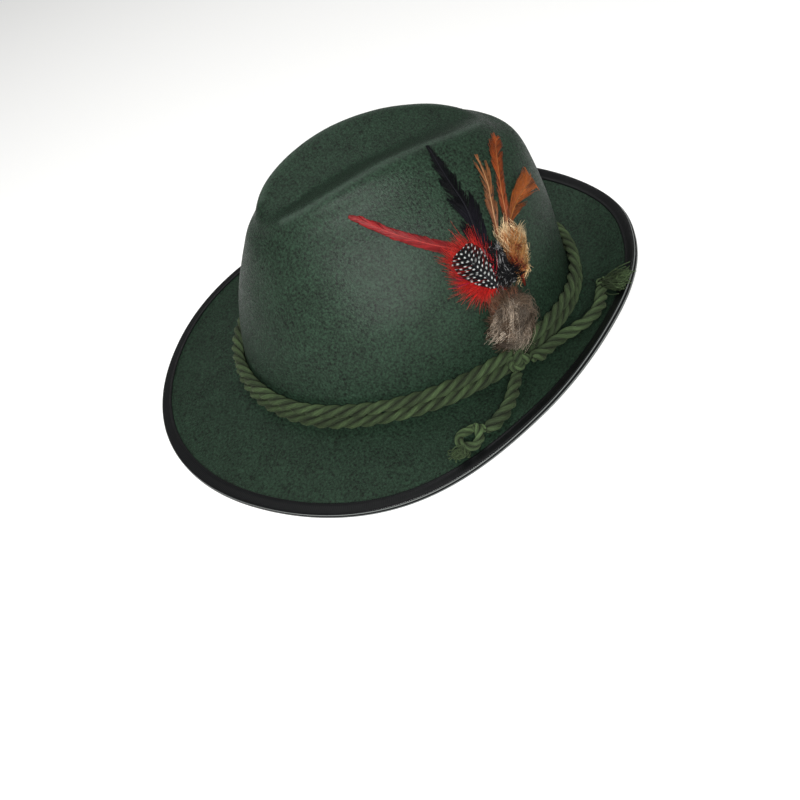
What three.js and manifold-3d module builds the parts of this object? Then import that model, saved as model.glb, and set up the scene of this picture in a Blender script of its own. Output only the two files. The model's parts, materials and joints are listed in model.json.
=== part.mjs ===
// A tyrolean hat of pressed felt: a creased crown, a bound brim, two twisted cords round the crown with loose
// ends that lie on the brim, and a bunch of feathers over a fur tuft on the wearer's left.
// Millimetres, +Z up, the surface it rests on at z = 0, the front of the hat at -Y, the wearer's left at +X.
import * as THREE from "three";
import { mergeVertices } from "three/addons/utils/BufferGeometryUtils.js";
import Module from "manifold-3d";

const wasm = await Module();
wasm.setup();

// Driving dimensions
const felt_thickness = 2;
const crown_half_length = 103;
const crown_half_width = 87;
const crown_height = 118;
const fold_radius = 3;
const brim_reach = 48;
const pinch_depth = 9;

const binding_width = 6.5;
const binding_thickness = 0.9;

const cord_diameter = 7;
const tail_diameter = 7;
const band_knot = { ring: 3.4, strand: 6.4 };
const front_knot = { ring: 5, strand: 6.4 };
const rear_knot = { ring: 2.8, strand: 5 };

const feather_thickness = 1.2;
const tuft_head = { along: 9, up: 11, out: 5 };

const seat_gap = 0.3;
const settle = 0.6;

// Mesh resolution
const turn_steps = 54;
const rings_per_row = 2;
const fold_steps = 2;
const brim_steps = 4;
const cord_sides = 8;
const tail_steps = 7;

// Crown sections from the fold up over the rim of the crease to its floor. The up columns are shares of the
// crown's height, front and back of its half length and side of its half width; square is the oval's exponent.
const crown_rows = [
  { up_front: 0.0, up_side: 0.0, up_back: 0.0, front: 1.0, side: 1.0, back: 1.0, square: 2.1 },
  { up_front: 0.2, up_side: 0.2, up_back: 0.2, front: 0.97, side: 0.985, back: 0.975, square: 2.1 },
  { up_front: 0.42, up_side: 0.42, up_back: 0.42, front: 0.9, side: 0.94, back: 0.95, square: 2.1 },
  { up_front: 0.59, up_side: 0.605, up_back: 0.61, front: 0.82, side: 0.85, back: 0.91, square: 2.15 },
  { up_front: 0.72, up_side: 0.77, up_back: 0.77, front: 0.76, side: 0.72, back: 0.86, square: 2.2 },
  { up_front: 0.785, up_side: 0.9, up_back: 0.815, front: 0.69, side: 0.54, back: 0.765, square: 2.3 },
  { up_front: 0.835, up_side: 1.0, up_back: 0.86, front: 0.64, side: 0.38, back: 0.685, square: 2.5 },
  { up_front: 0.85, up_side: 0.95, up_back: 0.88, front: 0.53, side: 0.195, back: 0.575, square: 3.0 },
  { up_front: 0.855, up_side: 0.89, up_back: 0.893, front: 0.39, side: 0.0, back: 0.465, square: 3.0 },
];

// Brim sections at even turns from the front to the back, the same on both sides: reach and rise are shares
// of the brim's reach, and curl is the power by which the rise sets in.
const brim_rows = [
  { reach: 1.1, rise: -0.17, curl: 1.2 },
  { reach: 1.08, rise: -0.145, curl: 1.2 },
  { reach: 1.11, rise: -0.06, curl: 1.3 },
  { reach: 0.89, rise: 0.16, curl: 1.6 },
  { reach: 0.745, rise: 0.41, curl: 1.7 },
  { reach: 0.725, rise: 0.405, curl: 1.7 },
  { reach: 0.85, rise: 0.29, curl: 1.7 },
];

// The pinch on each side: its turn from the front and its spread in degrees, and its place and reach in rows.
const pinch = { turn: 62, spread: 36, row: 4.3, rows_above: 1.5, rows_below: 2.6 };

const degrees = Math.PI / 180;

// A smooth value between the rows of a table by a Catmull-Rom curve, with mirrored or straight ends.
function between(rows, place, column, mirrored = false) {
  const last = rows.length - 1;
  const at = (i) => {
    if (i >= 0 && i <= last) return rows[i][column];
    const [end, next] = i < 0 ? [0, 1] : [last, last - 1];
    return mirrored ? rows[next][column] : 2 * rows[end][column] - rows[next][column];
  };
  const i = Math.min(Math.floor(place), last - 1);
  const t = place - i;
  const [a, b, c, d] = [at(i - 1), at(i), at(i + 1), at(i + 2)];
  return b + 0.5 * t * (c - a + t * (2 * a - 5 * b + 4 * c - d + t * (3 * (b - c) + d - a)));
}

// A point of the crown's outer face, at a turn from the front in degrees and a place among the crown's rows.
function crownPoint(turn, row) {
  const [s, c] = [Math.sin(turn * degrees), Math.cos(turn * degrees)];
  const end = c > 0 ? "front" : "back";
  const square = between(crown_rows, row, "square");
  const k = (Math.abs(s) ** square + Math.abs(c) ** square) ** (-1 / square);
  const side = Math.max(between(crown_rows, row, "side"), 0);
  const up_side = between(crown_rows, row, "up_side");
  const up = up_side + (between(crown_rows, row, "up_" + end) - up_side) * c * c;
  const point = new THREE.Vector3(
    crown_half_width * side * s * k,
    -crown_half_length * between(crown_rows, row, end) * c * k,
    crown_height * up,
  );
  const away = (Math.min(turn, 360 - turn) - pinch.turn) / pinch.spread;
  const above = (row - pinch.row) / (row > pinch.row ? pinch.rows_above : pinch.rows_below);
  const dent = Math.exp(-away * away) * Math.max(0, 1 - above * above) ** 1.5;
  const inward = new THREE.Vector3(-Math.sign(s) * Math.sqrt(Math.abs(s)), 0.5 * c, 0).normalize();
  return point.addScaledVector(inward, pinch_depth * dent);
}

// The way straight out from the foot of the crown.
function outwardAt(turn) {
  const step = 0.01;
  const run = crownPoint(turn + step, 0).sub(crownPoint(turn - step, 0));
  return new THREE.Vector3(run.y, -run.x, 0).normalize();
}

// The row of the crown that lies at a height above the brim, on the side.
function rowAt(height) {
  let [low, high] = [0, crown_rows.length - 3];
  for (let halving = 0; halving < 30; halving++) {
    const middle = (low + high) / 2;
    if (crownPoint(90, middle).z < height) low = middle;
    else high = middle;
  }
  return low;
}

// The rounded fold between crown and brim, from the wall (share 0) to the brim (share 1).
function foldPoint(turn, share) {
  const angle = share * 90 * degrees;
  const point = crownPoint(turn, rowAt(fold_radius) * (1 - share));
  point.addScaledVector(outwardAt(turn), fold_radius * (1 - Math.cos(angle)));
  point.z = fold_radius * (1 - Math.sin(angle));
  return point;
}

// A point of the brim's upper face at a share of its way out.
function brimPoint(turn, share) {
  const place = (Math.min(turn, 360 - turn) / 180) * (brim_rows.length - 1);
  const reach = brim_reach * between(brim_rows, place, "reach", true);
  const point = crownPoint(turn, 0).addScaledVector(outwardAt(turn), fold_radius + reach * share);
  point.z += brim_reach * between(brim_rows, place, "rise", true) * share ** between(brim_rows, place, "curl", true);
  return point;
}

// Solids

// A closed solid from rings of points: open at both ends and then capped, or looped round on itself.
function loft(rings, looped = false) {
  const sides = rings[0].length;
  const faces = [];
  for (let r = 0; r < rings.length - (looped ? 0 : 1); r++) {
    const next = (r + 1) % rings.length;
    for (let i = 0; i < sides; i++) {
      const j = (i + 1) % sides;
      const [a, b, c, d] = [r * sides + i, r * sides + j, next * sides + j, next * sides + i];
      faces.push(a, b, c, a, c, d);
    }
  }
  const top = (rings.length - 1) * sides;
  for (let i = 1; !looped && i + 1 < sides; i++) faces.push(0, i + 1, i, top, top + i, top + i + 1);
  return facingOut(solidFrom(rings.flat(), faces));
}

function solidFrom(points, faces) {
  const geometry = new THREE.BufferGeometry();
  const positions = points.flatMap((p) => [p.x, p.y, p.z]);
  geometry.setAttribute("position", new THREE.Float32BufferAttribute(positions, 3));
  geometry.setIndex(faces);
  return geometry;
}

// The same solid with its faces turned round if they point inwards.
function facingOut(geometry) {
  const [p, index] = [geometry.attributes.position, geometry.index.array];
  const corner = (i) => new THREE.Vector3().fromBufferAttribute(p, index[i]);
  let volume = 0;
  for (let t = 0; t < index.length; t += 3) volume += corner(t).dot(corner(t + 1).cross(corner(t + 2)));
  if (volume < 0) geometry.setIndex(Array.from(index).reverse());
  return geometry;
}

function solidOf(geometry) {
  const plain = new THREE.BufferGeometry().setAttribute("position", geometry.getAttribute("position"));
  plain.setIndex(geometry.index);
  const merged = mergeVertices(plain, 1e-3);
  const vertProperties = new Float32Array(merged.attributes.position.array);
  return new wasm.Manifold(new wasm.Mesh({ numProp: 3, vertProperties, triVerts: new Uint32Array(merged.index.array) }));
}

function geometryOf(solid) {
  const mesh = solid.getMesh();
  const geometry = new THREE.BufferGeometry();
  geometry.setAttribute("position", new THREE.BufferAttribute(new Float32Array(mesh.vertProperties), 3));
  geometry.setIndex(Array.from(mesh.triVerts));
  return geometry;
}

// One solid from several that run into each other.
function fuse(geometries) {
  return geometryOf(geometries.map(solidOf).reduce((all, next) => all.add(next)));
}

// A round rod along stations of { point, radius }.
function rod(stations, sides = 5) {
  const rings = stations.map(({ point, radius }, i) => {
    const before = stations[Math.max(i - 1, 0)].point;
    const after = stations[Math.min(i + 1, stations.length - 1)].point;
    const run = after.clone().sub(before).normalize();
    const level = Math.abs(run.z) < 0.9 ? new THREE.Vector3(0, 0, 1) : new THREE.Vector3(1, 0, 0);
    const across = level.clone().cross(run).normalize();
    const over = run.clone().cross(across);
    return Array.from({ length: sides }, (_, k) => {
      const angle = (2 * Math.PI * k) / sides;
      return point
        .clone()
        .addScaledVector(across, radius * Math.cos(angle))
        .addScaledVector(over, radius * Math.sin(angle));
    });
  });
  return loft(rings);
}

// Felt body

const turns = Array.from({ length: turn_steps }, (_, i) => (360 * i) / turn_steps);
const brimReachAt = (turn) => brimPoint(turn, 1).distanceTo(brimPoint(turn, 0));
const bindingShare = (turn) => 1 - binding_width / brimReachAt(turn);

// The outer face as rings of points, from the brim's edge over the crown to the floor of the crease.
function outerRings() {
  const rings = [turns.map((turn) => brimPoint(turn, 1))];
  for (let r = brim_steps; r > 0; r--)
    rings.push(turns.map((turn) => brimPoint(turn, (bindingShare(turn) * r) / brim_steps)));
  for (let f = fold_steps; f >= 0; f--) rings.push(turns.map((turn) => foldPoint(turn, f / fold_steps)));
  const first = Math.ceil((rings_per_row * 2 * fold_radius) / (crown_rows[1].up_side * crown_height));
  for (let r = first; r <= rings_per_row * (crown_rows.length - 1); r++)
    rings.push(turns.map((turn) => crownPoint(turn, r / rings_per_row)));
  return rings;
}

// The faces between rings of points, split along one diagonal on the outer side and the other on the inner.
function gridFaces(ring_count, steps, inner_from = 0) {
  const faces = [];
  for (let r = 0; r + 1 < ring_count; r++)
    for (let i = 0; i < steps; i++) {
      const j = (i + 1) % steps;
      const places = [r * steps + i, r * steps + j, (r + 1) * steps + j, (r + 1) * steps + i];
      const [a, b, c, d] = places.map((place) => place + inner_from);
      if (inner_from) faces.push(b, a, d, b, d, c);
      else faces.push(a, b, c, a, c, d);
    }
  return faces;
}

// The unit normals of the rings' points, pointing out of the felt.
function ringNormals(rings) {
  const face = solidFrom(rings.flat(), gridFaces(rings.length, turn_steps));
  face.computeVertexNormals();
  const normals = rings.map((ring, r) =>
    ring.map((_, i) => new THREE.Vector3().fromBufferAttribute(face.attributes.normal, r * turn_steps + i)),
  );
  const floor = normals.at(-1).map((normal, i, all) => {
    const mirrored = all[(turn_steps - i) % turn_steps];
    return normal.clone().add(mirrored).setX(0).normalize();
  });
  return [...normals.slice(0, -1), floor];
}

const outer = outerRings();
const outer_normals = ringNormals(outer);
const offsetRing = (r, distance) =>
  outer[r].map((point, i) => point.clone().addScaledVector(outer_normals[r][i], distance));

function feltBody() {
  const inner = outer.map((_, r) => offsetRing(r, -felt_thickness));
  const count = outer.length * turn_steps;
  const faces = [...gridFaces(outer.length, turn_steps), ...gridFaces(outer.length, turn_steps, count)];
  for (let i = 0; i < turn_steps; i++) {
    const j = (i + 1) % turn_steps;
    faces.push(j, i, count + i, j, count + i, count + j);
  }
  const wall = mergeVertices(solidFrom([...outer, ...inner].flat(), faces), 1e-3);
  const index = Array.from(wall.index.array);
  const whole = index.filter((_, k) => {
    const [a, b, c] = index.slice(k - (k % 3), k - (k % 3) + 3);
    return a !== b && b !== c && c !== a;
  });
  wall.setIndex(whole);
  return facingOut(wall);
}

// Tape folded over the brim's edge, with the seat gap to the felt all round.
function brimBinding() {
  const [near, far] = [seat_gap, seat_gap + binding_thickness];
  const under = felt_thickness + near;
  const below = felt_thickness + far;
  const sections = turns.map((_, i) => {
    const [edge, inside] = [outer[0][i], outer[1][i]];
    const [up, up_inside] = [outer_normals[0][i], outer_normals[1][i]];
    const out = edge.clone().sub(inside);
    out.addScaledVector(up, -out.dot(up)).normalize();
    const at = (along, over) => edge.clone().addScaledVector(out, along).addScaledVector(up, over);
    const from = (over) => inside.clone().addScaledVector(up_inside, over);
    return [
      from(near),
      from(far),
      at(0, far),
      at(far, -felt_thickness / 2),
      at(0, -below),
      from(-below),
      from(-under),
      at(near, -under),
      at(near, near),
    ];
  });
  return loft(sections, true);
}

// Cords round the crown

// A ring of cord seated on the crown's wall, with its axis at a height.
function cordBand(height) {
  const [radius, row] = [cord_diameter / 2, rowAt(height)];
  const sections = turns.map((turn) => {
    const out = outwardAt(turn);
    const axis = crownPoint(turn, row).addScaledVector(out, radius + seat_gap);
    return Array.from({ length: cord_sides }, (_, k) => {
      const angle = (2 * Math.PI * k) / cord_sides;
      const point = axis.clone().addScaledVector(out, radius * Math.cos(angle));
      point.z += radius * Math.sin(angle);
      return point;
    });
  });
  return loft(sections, true);
}

const lower_cord_height = 2 * seat_gap + cord_diameter / 2;
const upper_cord_height = lower_cord_height + cord_diameter + seat_gap;

// Trim on the crown

// A point off the crown's face: turn in degrees, a place among the crown's rows, and the lift in millimetres.
function onCrown({ turn, row, lift }) {
  const [da, dr] = [0.5, 0.02];
  const around = crownPoint(turn + da, row).sub(crownPoint(turn - da, row));
  const upward = crownPoint(turn, row + dr).sub(crownPoint(turn, row - dr));
  const normal = around.cross(upward).normalize();
  return { point: crownPoint(turn, row).addScaledVector(normal, lift), normal };
}

// The feathers from root to tip. Turn, row and lift place the middle of the blade, and width is across it.
const feathers = {
  feather_red: {
    color: "#8c2f2b",
    rows: [
      { turn: 98.5, row: 2.86, lift: 0.95, width: 2.2 },
      { turn: 94, row: 3.18, lift: 0.95, width: 4.4 },
      { turn: 84, row: 3.62, lift: 1.4, width: 4.8 },
      { turn: 74, row: 4.1, lift: 2, width: 4.8 },
      { turn: 63, row: 4.78, lift: 2.6, width: 2.6 },
    ],
  },
  feather_black: {
    color: "#1b1d1f",
    rows: [
      { turn: 104.2, row: 2.4, lift: 0.95, width: 3 },
      { turn: 103, row: 2.9, lift: 2.6, width: 8.5 },
      { turn: 103, row: 3.4, lift: 2.6, width: 12.5 },
      { turn: 104, row: 3.9, lift: 2.6, width: 11.5 },
      { turn: 104.3, row: 4.5, lift: 2.6, width: 7.5 },
      { turn: 105, row: 5.2, lift: 3, width: 4.4 },
      { turn: 105, row: 5.74, lift: 3.6, width: 1.6 },
    ],
  },
  feather_orange_broad: {
    color: "#b06a2c",
    rows: [
      { turn: 113, row: 2.5, lift: 0.95, width: 3 },
      { turn: 115, row: 2.95, lift: 0.95, width: 9 },
      { turn: 120, row: 3.24, lift: 0.95, width: 13 },
      { turn: 127, row: 3.4, lift: 1.3, width: 12 },
      { turn: 134.5, row: 3.46, lift: 2, width: 5 },
    ],
  },
  feather_orange_tall: {
    color: "#9a5524",
    rows: [
      { turn: 113, row: 2.64, lift: 2.6, width: 2 },
      { turn: 114.8, row: 3.1, lift: 2.6, width: 4.4 },
      { turn: 120, row: 3.9, lift: 2.8, width: 6 },
      { turn: 128.5, row: 4.55, lift: 3.2, width: 5 },
      { turn: 137, row: 4.98, lift: 3.8, width: 2 },
    ],
  },
  feather_golden: {
    color: "#b5803f",
    rows: [
      { turn: 109.4, row: 2.66, lift: 0.95, width: 1.8 },
      { turn: 110.3, row: 3.18, lift: 2.6, width: 2.8 },
      { turn: 113, row: 3.7, lift: 2.8, width: 3.2 },
      { turn: 116, row: 4.14, lift: 3, width: 3.2 },
      { turn: 120, row: 4.78, lift: 3.4, width: 1.6 },
    ],
  },
  feather_guinea: {
    color: "#2a2c2e",
    rows: [
      { turn: 101.8, row: 2.08, lift: 8.2, width: 4 },
      { turn: 99.6, row: 2.32, lift: 8.3, width: 12 },
      { turn: 97.4, row: 2.6, lift: 8.3, width: 17.5 },
      { turn: 95.2, row: 2.86, lift: 8.3, width: 17 },
      { turn: 93.4, row: 3.08, lift: 8.2, width: 10 },
    ],
  },
};

// A flat blade along a feather's rows, thickest at the middle.
function featherBlade(rows) {
  const steps_per_row = 2;
  const sections = [];
  for (let i = 0; i <= (rows.length - 1) * steps_per_row; i++) {
    const place = i / steps_per_row;
    const at = (p) =>
      onCrown({
        turn: between(rows, p, "turn"),
        row: between(rows, p, "row"),
        lift: between(rows, p, "lift"),
      });
    const { point, normal } = at(place);
    const run = at(Math.min(place + 0.05, rows.length - 1)).point.sub(at(Math.max(place - 0.05, 0)).point);
    const across = run.cross(normal).normalize();
    const half = between(rows, place, "width") / 2;
    const corner = (aside, over) =>
      point
        .clone()
        .addScaledVector(across, half * aside)
        .addScaledVector(normal, (feather_thickness / 2) * over);
    sections.push([corner(-1, 0), corner(-0.4, 1), corner(0.4, 1), corner(1, 0), corner(0.4, -1), corner(-0.4, -1)]);
  }
  return loft(sections);
}

// Tufts: a flattened head on the crown and locks that run out of it to their tips.
const tufts = {
  fur_tuft: {
    color: "#7d7261",
    head: { turn: 103.5, row: 1.2, lift: tuft_head.out + seat_gap + 0.2, ...tuft_head },
    lock: 3.4,
    tips: [
      { turn: 95, row: 1.14, lift: 10.2 },
      { turn: 97.6, row: 0.94, lift: 11 },
      { turn: 101, row: 0.8, lift: 11.2 },
      { turn: 104.4, row: 0.68, lift: 11 },
      { turn: 108, row: 0.74, lift: 10 },
      { turn: 96.5, row: 1.7, lift: 4.4 },
      { turn: 100, row: 1.86, lift: 4.8 },
      { turn: 104.8, row: 1.88, lift: 4.8 },
      { turn: 109.4, row: 1.78, lift: 4.4 },
      { turn: 112.5, row: 1.44, lift: 4.2 },
    ],
  },
  hackle_red: {
    color: "#8f2a22",
    head: { turn: 97.6, row: 2.42, lift: 3.3, along: 4.6, up: 6, out: 2.8 },
    lock: 2.3,
    tips: [
      { turn: 99.8, row: 3.02, lift: 5.2 },
      { turn: 95, row: 3.34, lift: 5.2 },
      { turn: 90, row: 3.36, lift: 4.6 },
      { turn: 86.5, row: 3.08, lift: 4.2 },
      { turn: 86.5, row: 2.7, lift: 4 },
      { turn: 88.5, row: 2.36, lift: 3.8 },
      { turn: 91.5, row: 2.08, lift: 3.8 },
      { turn: 95, row: 1.9, lift: 3.8 },
    ],
  },
  fluff_black: {
    color: "#1c1d20",
    head: { turn: 104.8, row: 2.3, lift: 3.9, along: 3.4, up: 5.6, out: 2 },
    lock: 1.5,
    tips: [
      { turn: 102.2, row: 2.86, lift: 5 },
      { turn: 104.4, row: 3, lift: 5 },
      { turn: 106.8, row: 2.86, lift: 5 },
      { turn: 107.8, row: 2.5, lift: 5.2 },
      { turn: 106.6, row: 2.02, lift: 5 },
      { turn: 104, row: 1.98, lift: 5 },
    ],
  },
  fluff_gold: {
    color: "#a37a45",
    head: { turn: 113, row: 2.32, lift: 5.6, along: 4.8, up: 7, out: 2.2 },
    lock: 2.2,
    tips: [
      { turn: 110.8, row: 2.98, lift: 5.4 },
      { turn: 113.6, row: 3.16, lift: 5.4 },
      { turn: 117, row: 3.06, lift: 5.2 },
      { turn: 120.4, row: 2.84, lift: 4.8 },
      { turn: 119.6, row: 2.4, lift: 4.4 },
      { turn: 116.6, row: 2.02, lift: 4.2 },
      { turn: 111.4, row: 1.98, lift: 4.6 },
    ],
  },
};

function tuftSolid({ head, lock, tips }) {
  const { point: centre, normal } = onCrown(head);
  const around = onCrown({ ...head, turn: head.turn + 1 }).point.sub(centre).normalize();
  const upward = normal.clone().cross(around).normalize();
  const ball = new THREE.SphereGeometry(1, 8, 5);
  ball.deleteAttribute("normal");
  ball.deleteAttribute("uv");
  const pose = new THREE.Matrix4().makeBasis(
    around.clone().multiplyScalar(head.along),
    upward.clone().multiplyScalar(head.up),
    normal.clone().multiplyScalar(head.out),
  );
  const locks = tips.map((tip) => {
    const middle = {
      turn: (head.turn + tip.turn) / 2,
      row: (head.row + tip.row) / 2,
      lift: Math.max(tip.lift, head.lift),
    };
    const start = centre.clone().lerp(onCrown(middle).point, 0.3);
    return rod([
      { point: start, radius: 0.7 * lock },
      { point: onCrown(middle).point, radius: lock },
      { point: onCrown(tip).point, radius: 0.26 * lock },
    ]);
  });
  return fuse([mergeVertices(ball.applyMatrix4(pose).translate(centre.x, centre.y, centre.z), 1e-3), ...locks]);
}

// Knots and loose ends of the cords

// A point off the brim's upper face: turn in degrees, a share of the way out, and the lift in millimetres.
function onBrim({ turn, share, lift }) {
  const [da, ds] = [0.5, 0.01];
  const around = brimPoint(turn + da, share).sub(brimPoint(turn - da, share));
  const outward = brimPoint(turn, share + ds).sub(brimPoint(turn, share - ds));
  const normal = outward.cross(around).normalize();
  return { point: brimPoint(turn, share).addScaledVector(normal, lift), normal };
}

// A knot pulled tight: a ring of cord round its own core, with frayed strands out to the tips.
function knotSolid({ point, normal }, { ring, strand }, tips = []) {
  const lying = new THREE.Quaternion().setFromUnitVectors(new THREE.Vector3(0, 0, 1), normal);
  const pose = new THREE.Matrix4().compose(point, lying, new THREE.Vector3(1, 1, 1));
  const parts = [
    new THREE.TorusGeometry(ring, strand / 2, 6, 11),
    new THREE.SphereGeometry(1, 7, 4).scale(ring, ring, 0.8 * (strand / 2)),
  ].map((part) => {
    part.deleteAttribute("normal");
    part.deleteAttribute("uv");
    return mergeVertices(part.applyMatrix4(pose), 1e-3);
  });
  const frayed = tips.map((tip) => {
    const end = onBrim(tip).point;
    return rod([
      { point: point.clone().lerp(end, 0.15), radius: 0.3 * strand },
      { point: point.clone().lerp(end, 0.75), radius: 0.36 * strand },
      { point: end, radius: 0.1 * strand },
    ]);
  });
  return fuse([...parts, ...frayed]);
}

// Where the knots lie, and where their frayed strands end.
const knots = {
  cord_knot: { seat: onCrown({ turn: 98.5, row: 0.43, lift: 10.5 }), size: band_knot },
  tail_knot_front: {
    seat: onBrim({ turn: 76, share: 0.72, lift: 4.4 }),
    size: front_knot,
    tips: [
      { turn: 73.5, share: 0.93, lift: 4.3 },
      { turn: 71.5, share: 0.86, lift: 4.3 },
      { turn: 70.4, share: 0.76, lift: 4.1 },
    ],
  },
  tail_knot_rear: {
    seat: onBrim({ turn: 136, share: 0.56, lift: 3 }),
    size: rear_knot,
    tips: [
      { turn: 127.5, share: 1.06, lift: 4 },
      { turn: 130, share: 1.16, lift: 4 },
      { turn: 133.5, share: 1.16, lift: 4 },
    ],
  },
};

// The loose ends of the cords, from the knot on the band to the knot at the end, on the brim of the resting hat.
const tails = {
  cord_tail_front: [
    { x: 100.8, y: 18.2, z: 11.3 },
    { x: 104.4, y: 13.1, z: 10.9 },
    { x: 110.4, y: 7.6, z: 11.5 },
    { x: 116.4, y: 1.1, z: 12.3 },
    { x: 121.0, y: -6.7, z: 12.7 },
    { x: 122.7, y: -13, z: 12.6 },
    { x: 122.9, y: -17.4, z: 12.4 },
  ],
  cord_tail_rear: [
    { x: 97.9, y: 29.4, z: 13.2 },
    { x: 96.2, y: 36.2, z: 10.1 },
    { x: 93.6, y: 44.6, z: 9.3 },
    { x: 93.2, y: 53, z: 9.9 },
    { x: 95.6, y: 61.2, z: 12.4 },
    { x: 97.8, y: 68.9, z: 15.6 },
    { x: 95, y: 77.8, z: 16.6 },
    { x: 87.6, y: 85.2, z: 15.7 },
    { x: 82.6, y: 89.2, z: 14.6 },
  ],
};

function tailSolid(points) {
  const route = new THREE.CatmullRomCurve3(points.map(({ x, y, z }) => new THREE.Vector3(x, y, z)));
  const round = new THREE.Shape(
    Array.from({ length: cord_sides }, (_, k) => {
      const angle = (2 * Math.PI * k) / cord_sides;
      return new THREE.Vector2(Math.cos(angle), Math.sin(angle)).multiplyScalar(tail_diameter / 2);
    }),
  );
  return new THREE.ExtrudeGeometry(round, { steps: tail_steps, extrudePath: route, bevelEnabled: false });
}

// Assembly

function material(color, roughness) {
  return new THREE.MeshStandardMaterial({ color, roughness, metalness: 0 });
}

const felt_green = material("#38483a", 0.95);
const tape_black = material("#26282a", 0.55);
const cord_green = material("#3a4a2f", 0.9);

// The pieces in the hat's own axes, with the fold between crown and brim level.
const pieces = [
  ["felt_body", feltBody(), felt_green],
  ["brim_binding", brimBinding(), tape_black],
  ["cord_band_lower", cordBand(lower_cord_height), cord_green],
  ["cord_band_upper", cordBand(upper_cord_height), cord_green],
  ...Object.entries(feathers).map(([name, { color, rows }]) => [name, featherBlade(rows), material(color, 0.6)]),
  ...Object.entries(tufts).map(([name, tuft]) => [name, tuftSolid(tuft), material(tuft.color, 0.9)]),
  ...Object.entries(knots).map(([name, { seat, size, tips }]) => [name, knotSolid(seat, size, tips), cord_green]),
];

// How the hat comes to rest: tipped about X until its front edge and the fold at its back stand on the
// surface, its box centred over the origin, and the felt and tape flattened where they touch down.
function restPose(geometries) {
  const corners = geometries.flatMap(({ attributes }) =>
    Array.from({ length: attributes.position.count }, (_, i) =>
      new THREE.Vector3().fromBufferAttribute(attributes.position, i),
    ),
  );
  const tipped = (tilt) => corners.map((corner) => corner.clone().applyAxisAngle(new THREE.Vector3(1, 0, 0), tilt));
  const lowest = (points, end) =>
    points.reduce((low, point) => (point.y * end > 0 && point.z < low.z ? point : low), new THREE.Vector3(0, 0, 1e9));
  let tilt = 0;
  for (let step = 0; step < 12; step++) {
    const [front, back] = [lowest(tipped(tilt), -1), lowest(tipped(tilt), 1)];
    tilt -= Math.atan2(back.z - front.z, back.y - front.y);
  }
  const box = new THREE.Box3().setFromPoints(tipped(tilt));
  const centre = box.getCenter(new THREE.Vector3());
  return new THREE.Matrix4()
    .makeTranslation(-centre.x, -centre.y, -box.min.z - settle)
    .multiply(new THREE.Matrix4().makeRotationX(tilt));
}

// The geometry without what would reach below the surface.
function cutLevel(geometry) {
  const size = 4 * (crown_half_length + brim_reach);
  const below = new THREE.BoxGeometry(size, size, size).translate(0, 0, -size / 2);
  return geometryOf(solidOf(geometry).subtract(solidOf(below)));
}

const rest = restPose(pieces.map(([, geometry]) => geometry));
const hat = new THREE.Group();
for (const [name, points] of Object.entries(tails)) {
  const tail = new THREE.Mesh(tailSolid(points), cord_green);
  tail.name = name;
  hat.add(tail);
}
for (const [name, geometry, look] of pieces) {
  geometry.applyMatrix4(rest);
  geometry.computeBoundingBox();
  const mesh = new THREE.Mesh(geometry.boundingBox.min.z < 0 ? cutLevel(geometry) : geometry, look);
  mesh.name = name;
  hat.add(mesh);
}

export default hat;
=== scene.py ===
# A tyrolean hat of green pressed felt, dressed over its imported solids: bound brim, two laid cords with knotted
# loose ends, and a bunch of feathers over a fur tuft on the wearer's left.
import json
import math

import bpy
import numpy as np
from mathutils import Matrix

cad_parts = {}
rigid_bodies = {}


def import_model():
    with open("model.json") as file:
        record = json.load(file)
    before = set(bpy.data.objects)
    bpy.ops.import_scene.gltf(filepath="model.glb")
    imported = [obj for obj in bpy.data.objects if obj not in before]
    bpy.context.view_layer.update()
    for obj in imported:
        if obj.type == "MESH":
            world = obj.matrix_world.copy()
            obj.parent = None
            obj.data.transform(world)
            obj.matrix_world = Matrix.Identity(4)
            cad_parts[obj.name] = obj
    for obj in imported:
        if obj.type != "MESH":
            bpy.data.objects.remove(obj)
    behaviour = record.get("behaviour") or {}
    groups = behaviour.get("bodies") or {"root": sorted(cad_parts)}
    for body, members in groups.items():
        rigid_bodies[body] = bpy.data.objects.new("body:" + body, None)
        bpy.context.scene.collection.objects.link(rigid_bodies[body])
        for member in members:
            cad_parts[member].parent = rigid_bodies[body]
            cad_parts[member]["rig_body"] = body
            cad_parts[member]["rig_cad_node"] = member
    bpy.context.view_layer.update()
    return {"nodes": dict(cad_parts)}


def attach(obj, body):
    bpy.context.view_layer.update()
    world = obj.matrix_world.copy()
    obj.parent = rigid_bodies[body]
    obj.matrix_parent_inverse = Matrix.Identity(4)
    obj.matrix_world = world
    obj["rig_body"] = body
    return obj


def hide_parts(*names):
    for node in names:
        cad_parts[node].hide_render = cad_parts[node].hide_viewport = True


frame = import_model()

bl_info = {
    "name": "Tyrolean hat",
    "version": (1, 0, 0),
    "blender": (4, 5, 0),
    "location": "View3D > Sidebar > Hat",
    "description": "Dresses the solids of a tyrolean hat with felt, tape, cord, fur and feathers",
    "category": "Object",
}

MM = 0.001

# The hat's own sizes in millimetres, as in the part's source
CROWN_HALF_LENGTH = 103.0
CROWN_HALF_WIDTH = 87.0
CROWN_HEIGHT = 118.0
FOLD_RADIUS = 3.0
BRIM_REACH = 48.0
FELT_THICKNESS = 2.0
BINDING_WIDTH = 6.5
CORD_DIAMETER = 7.0
TAIL_DIAMETER = 7.0
SEAT_GAP = 0.3

# Sizes in millimetres of what only shows on the dressed hat
# Way round the tape's section from its upper hem to the middle of its fold, and on to the fold's rounded corners
TAPE_FOLD = 8.6
FOLD_CORNER = 1.05
TAPE_RIB = 1.1
# The crease's crest, with a painted highlight along it: its place among the crown's rows, its turns from the front, and
# how wide the painted highlight is
CREST_ROW = 6.1
CREST_TURNS = (28, 150)
CREST_HIGHLIGHT_WIDTH = 2.4
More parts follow.
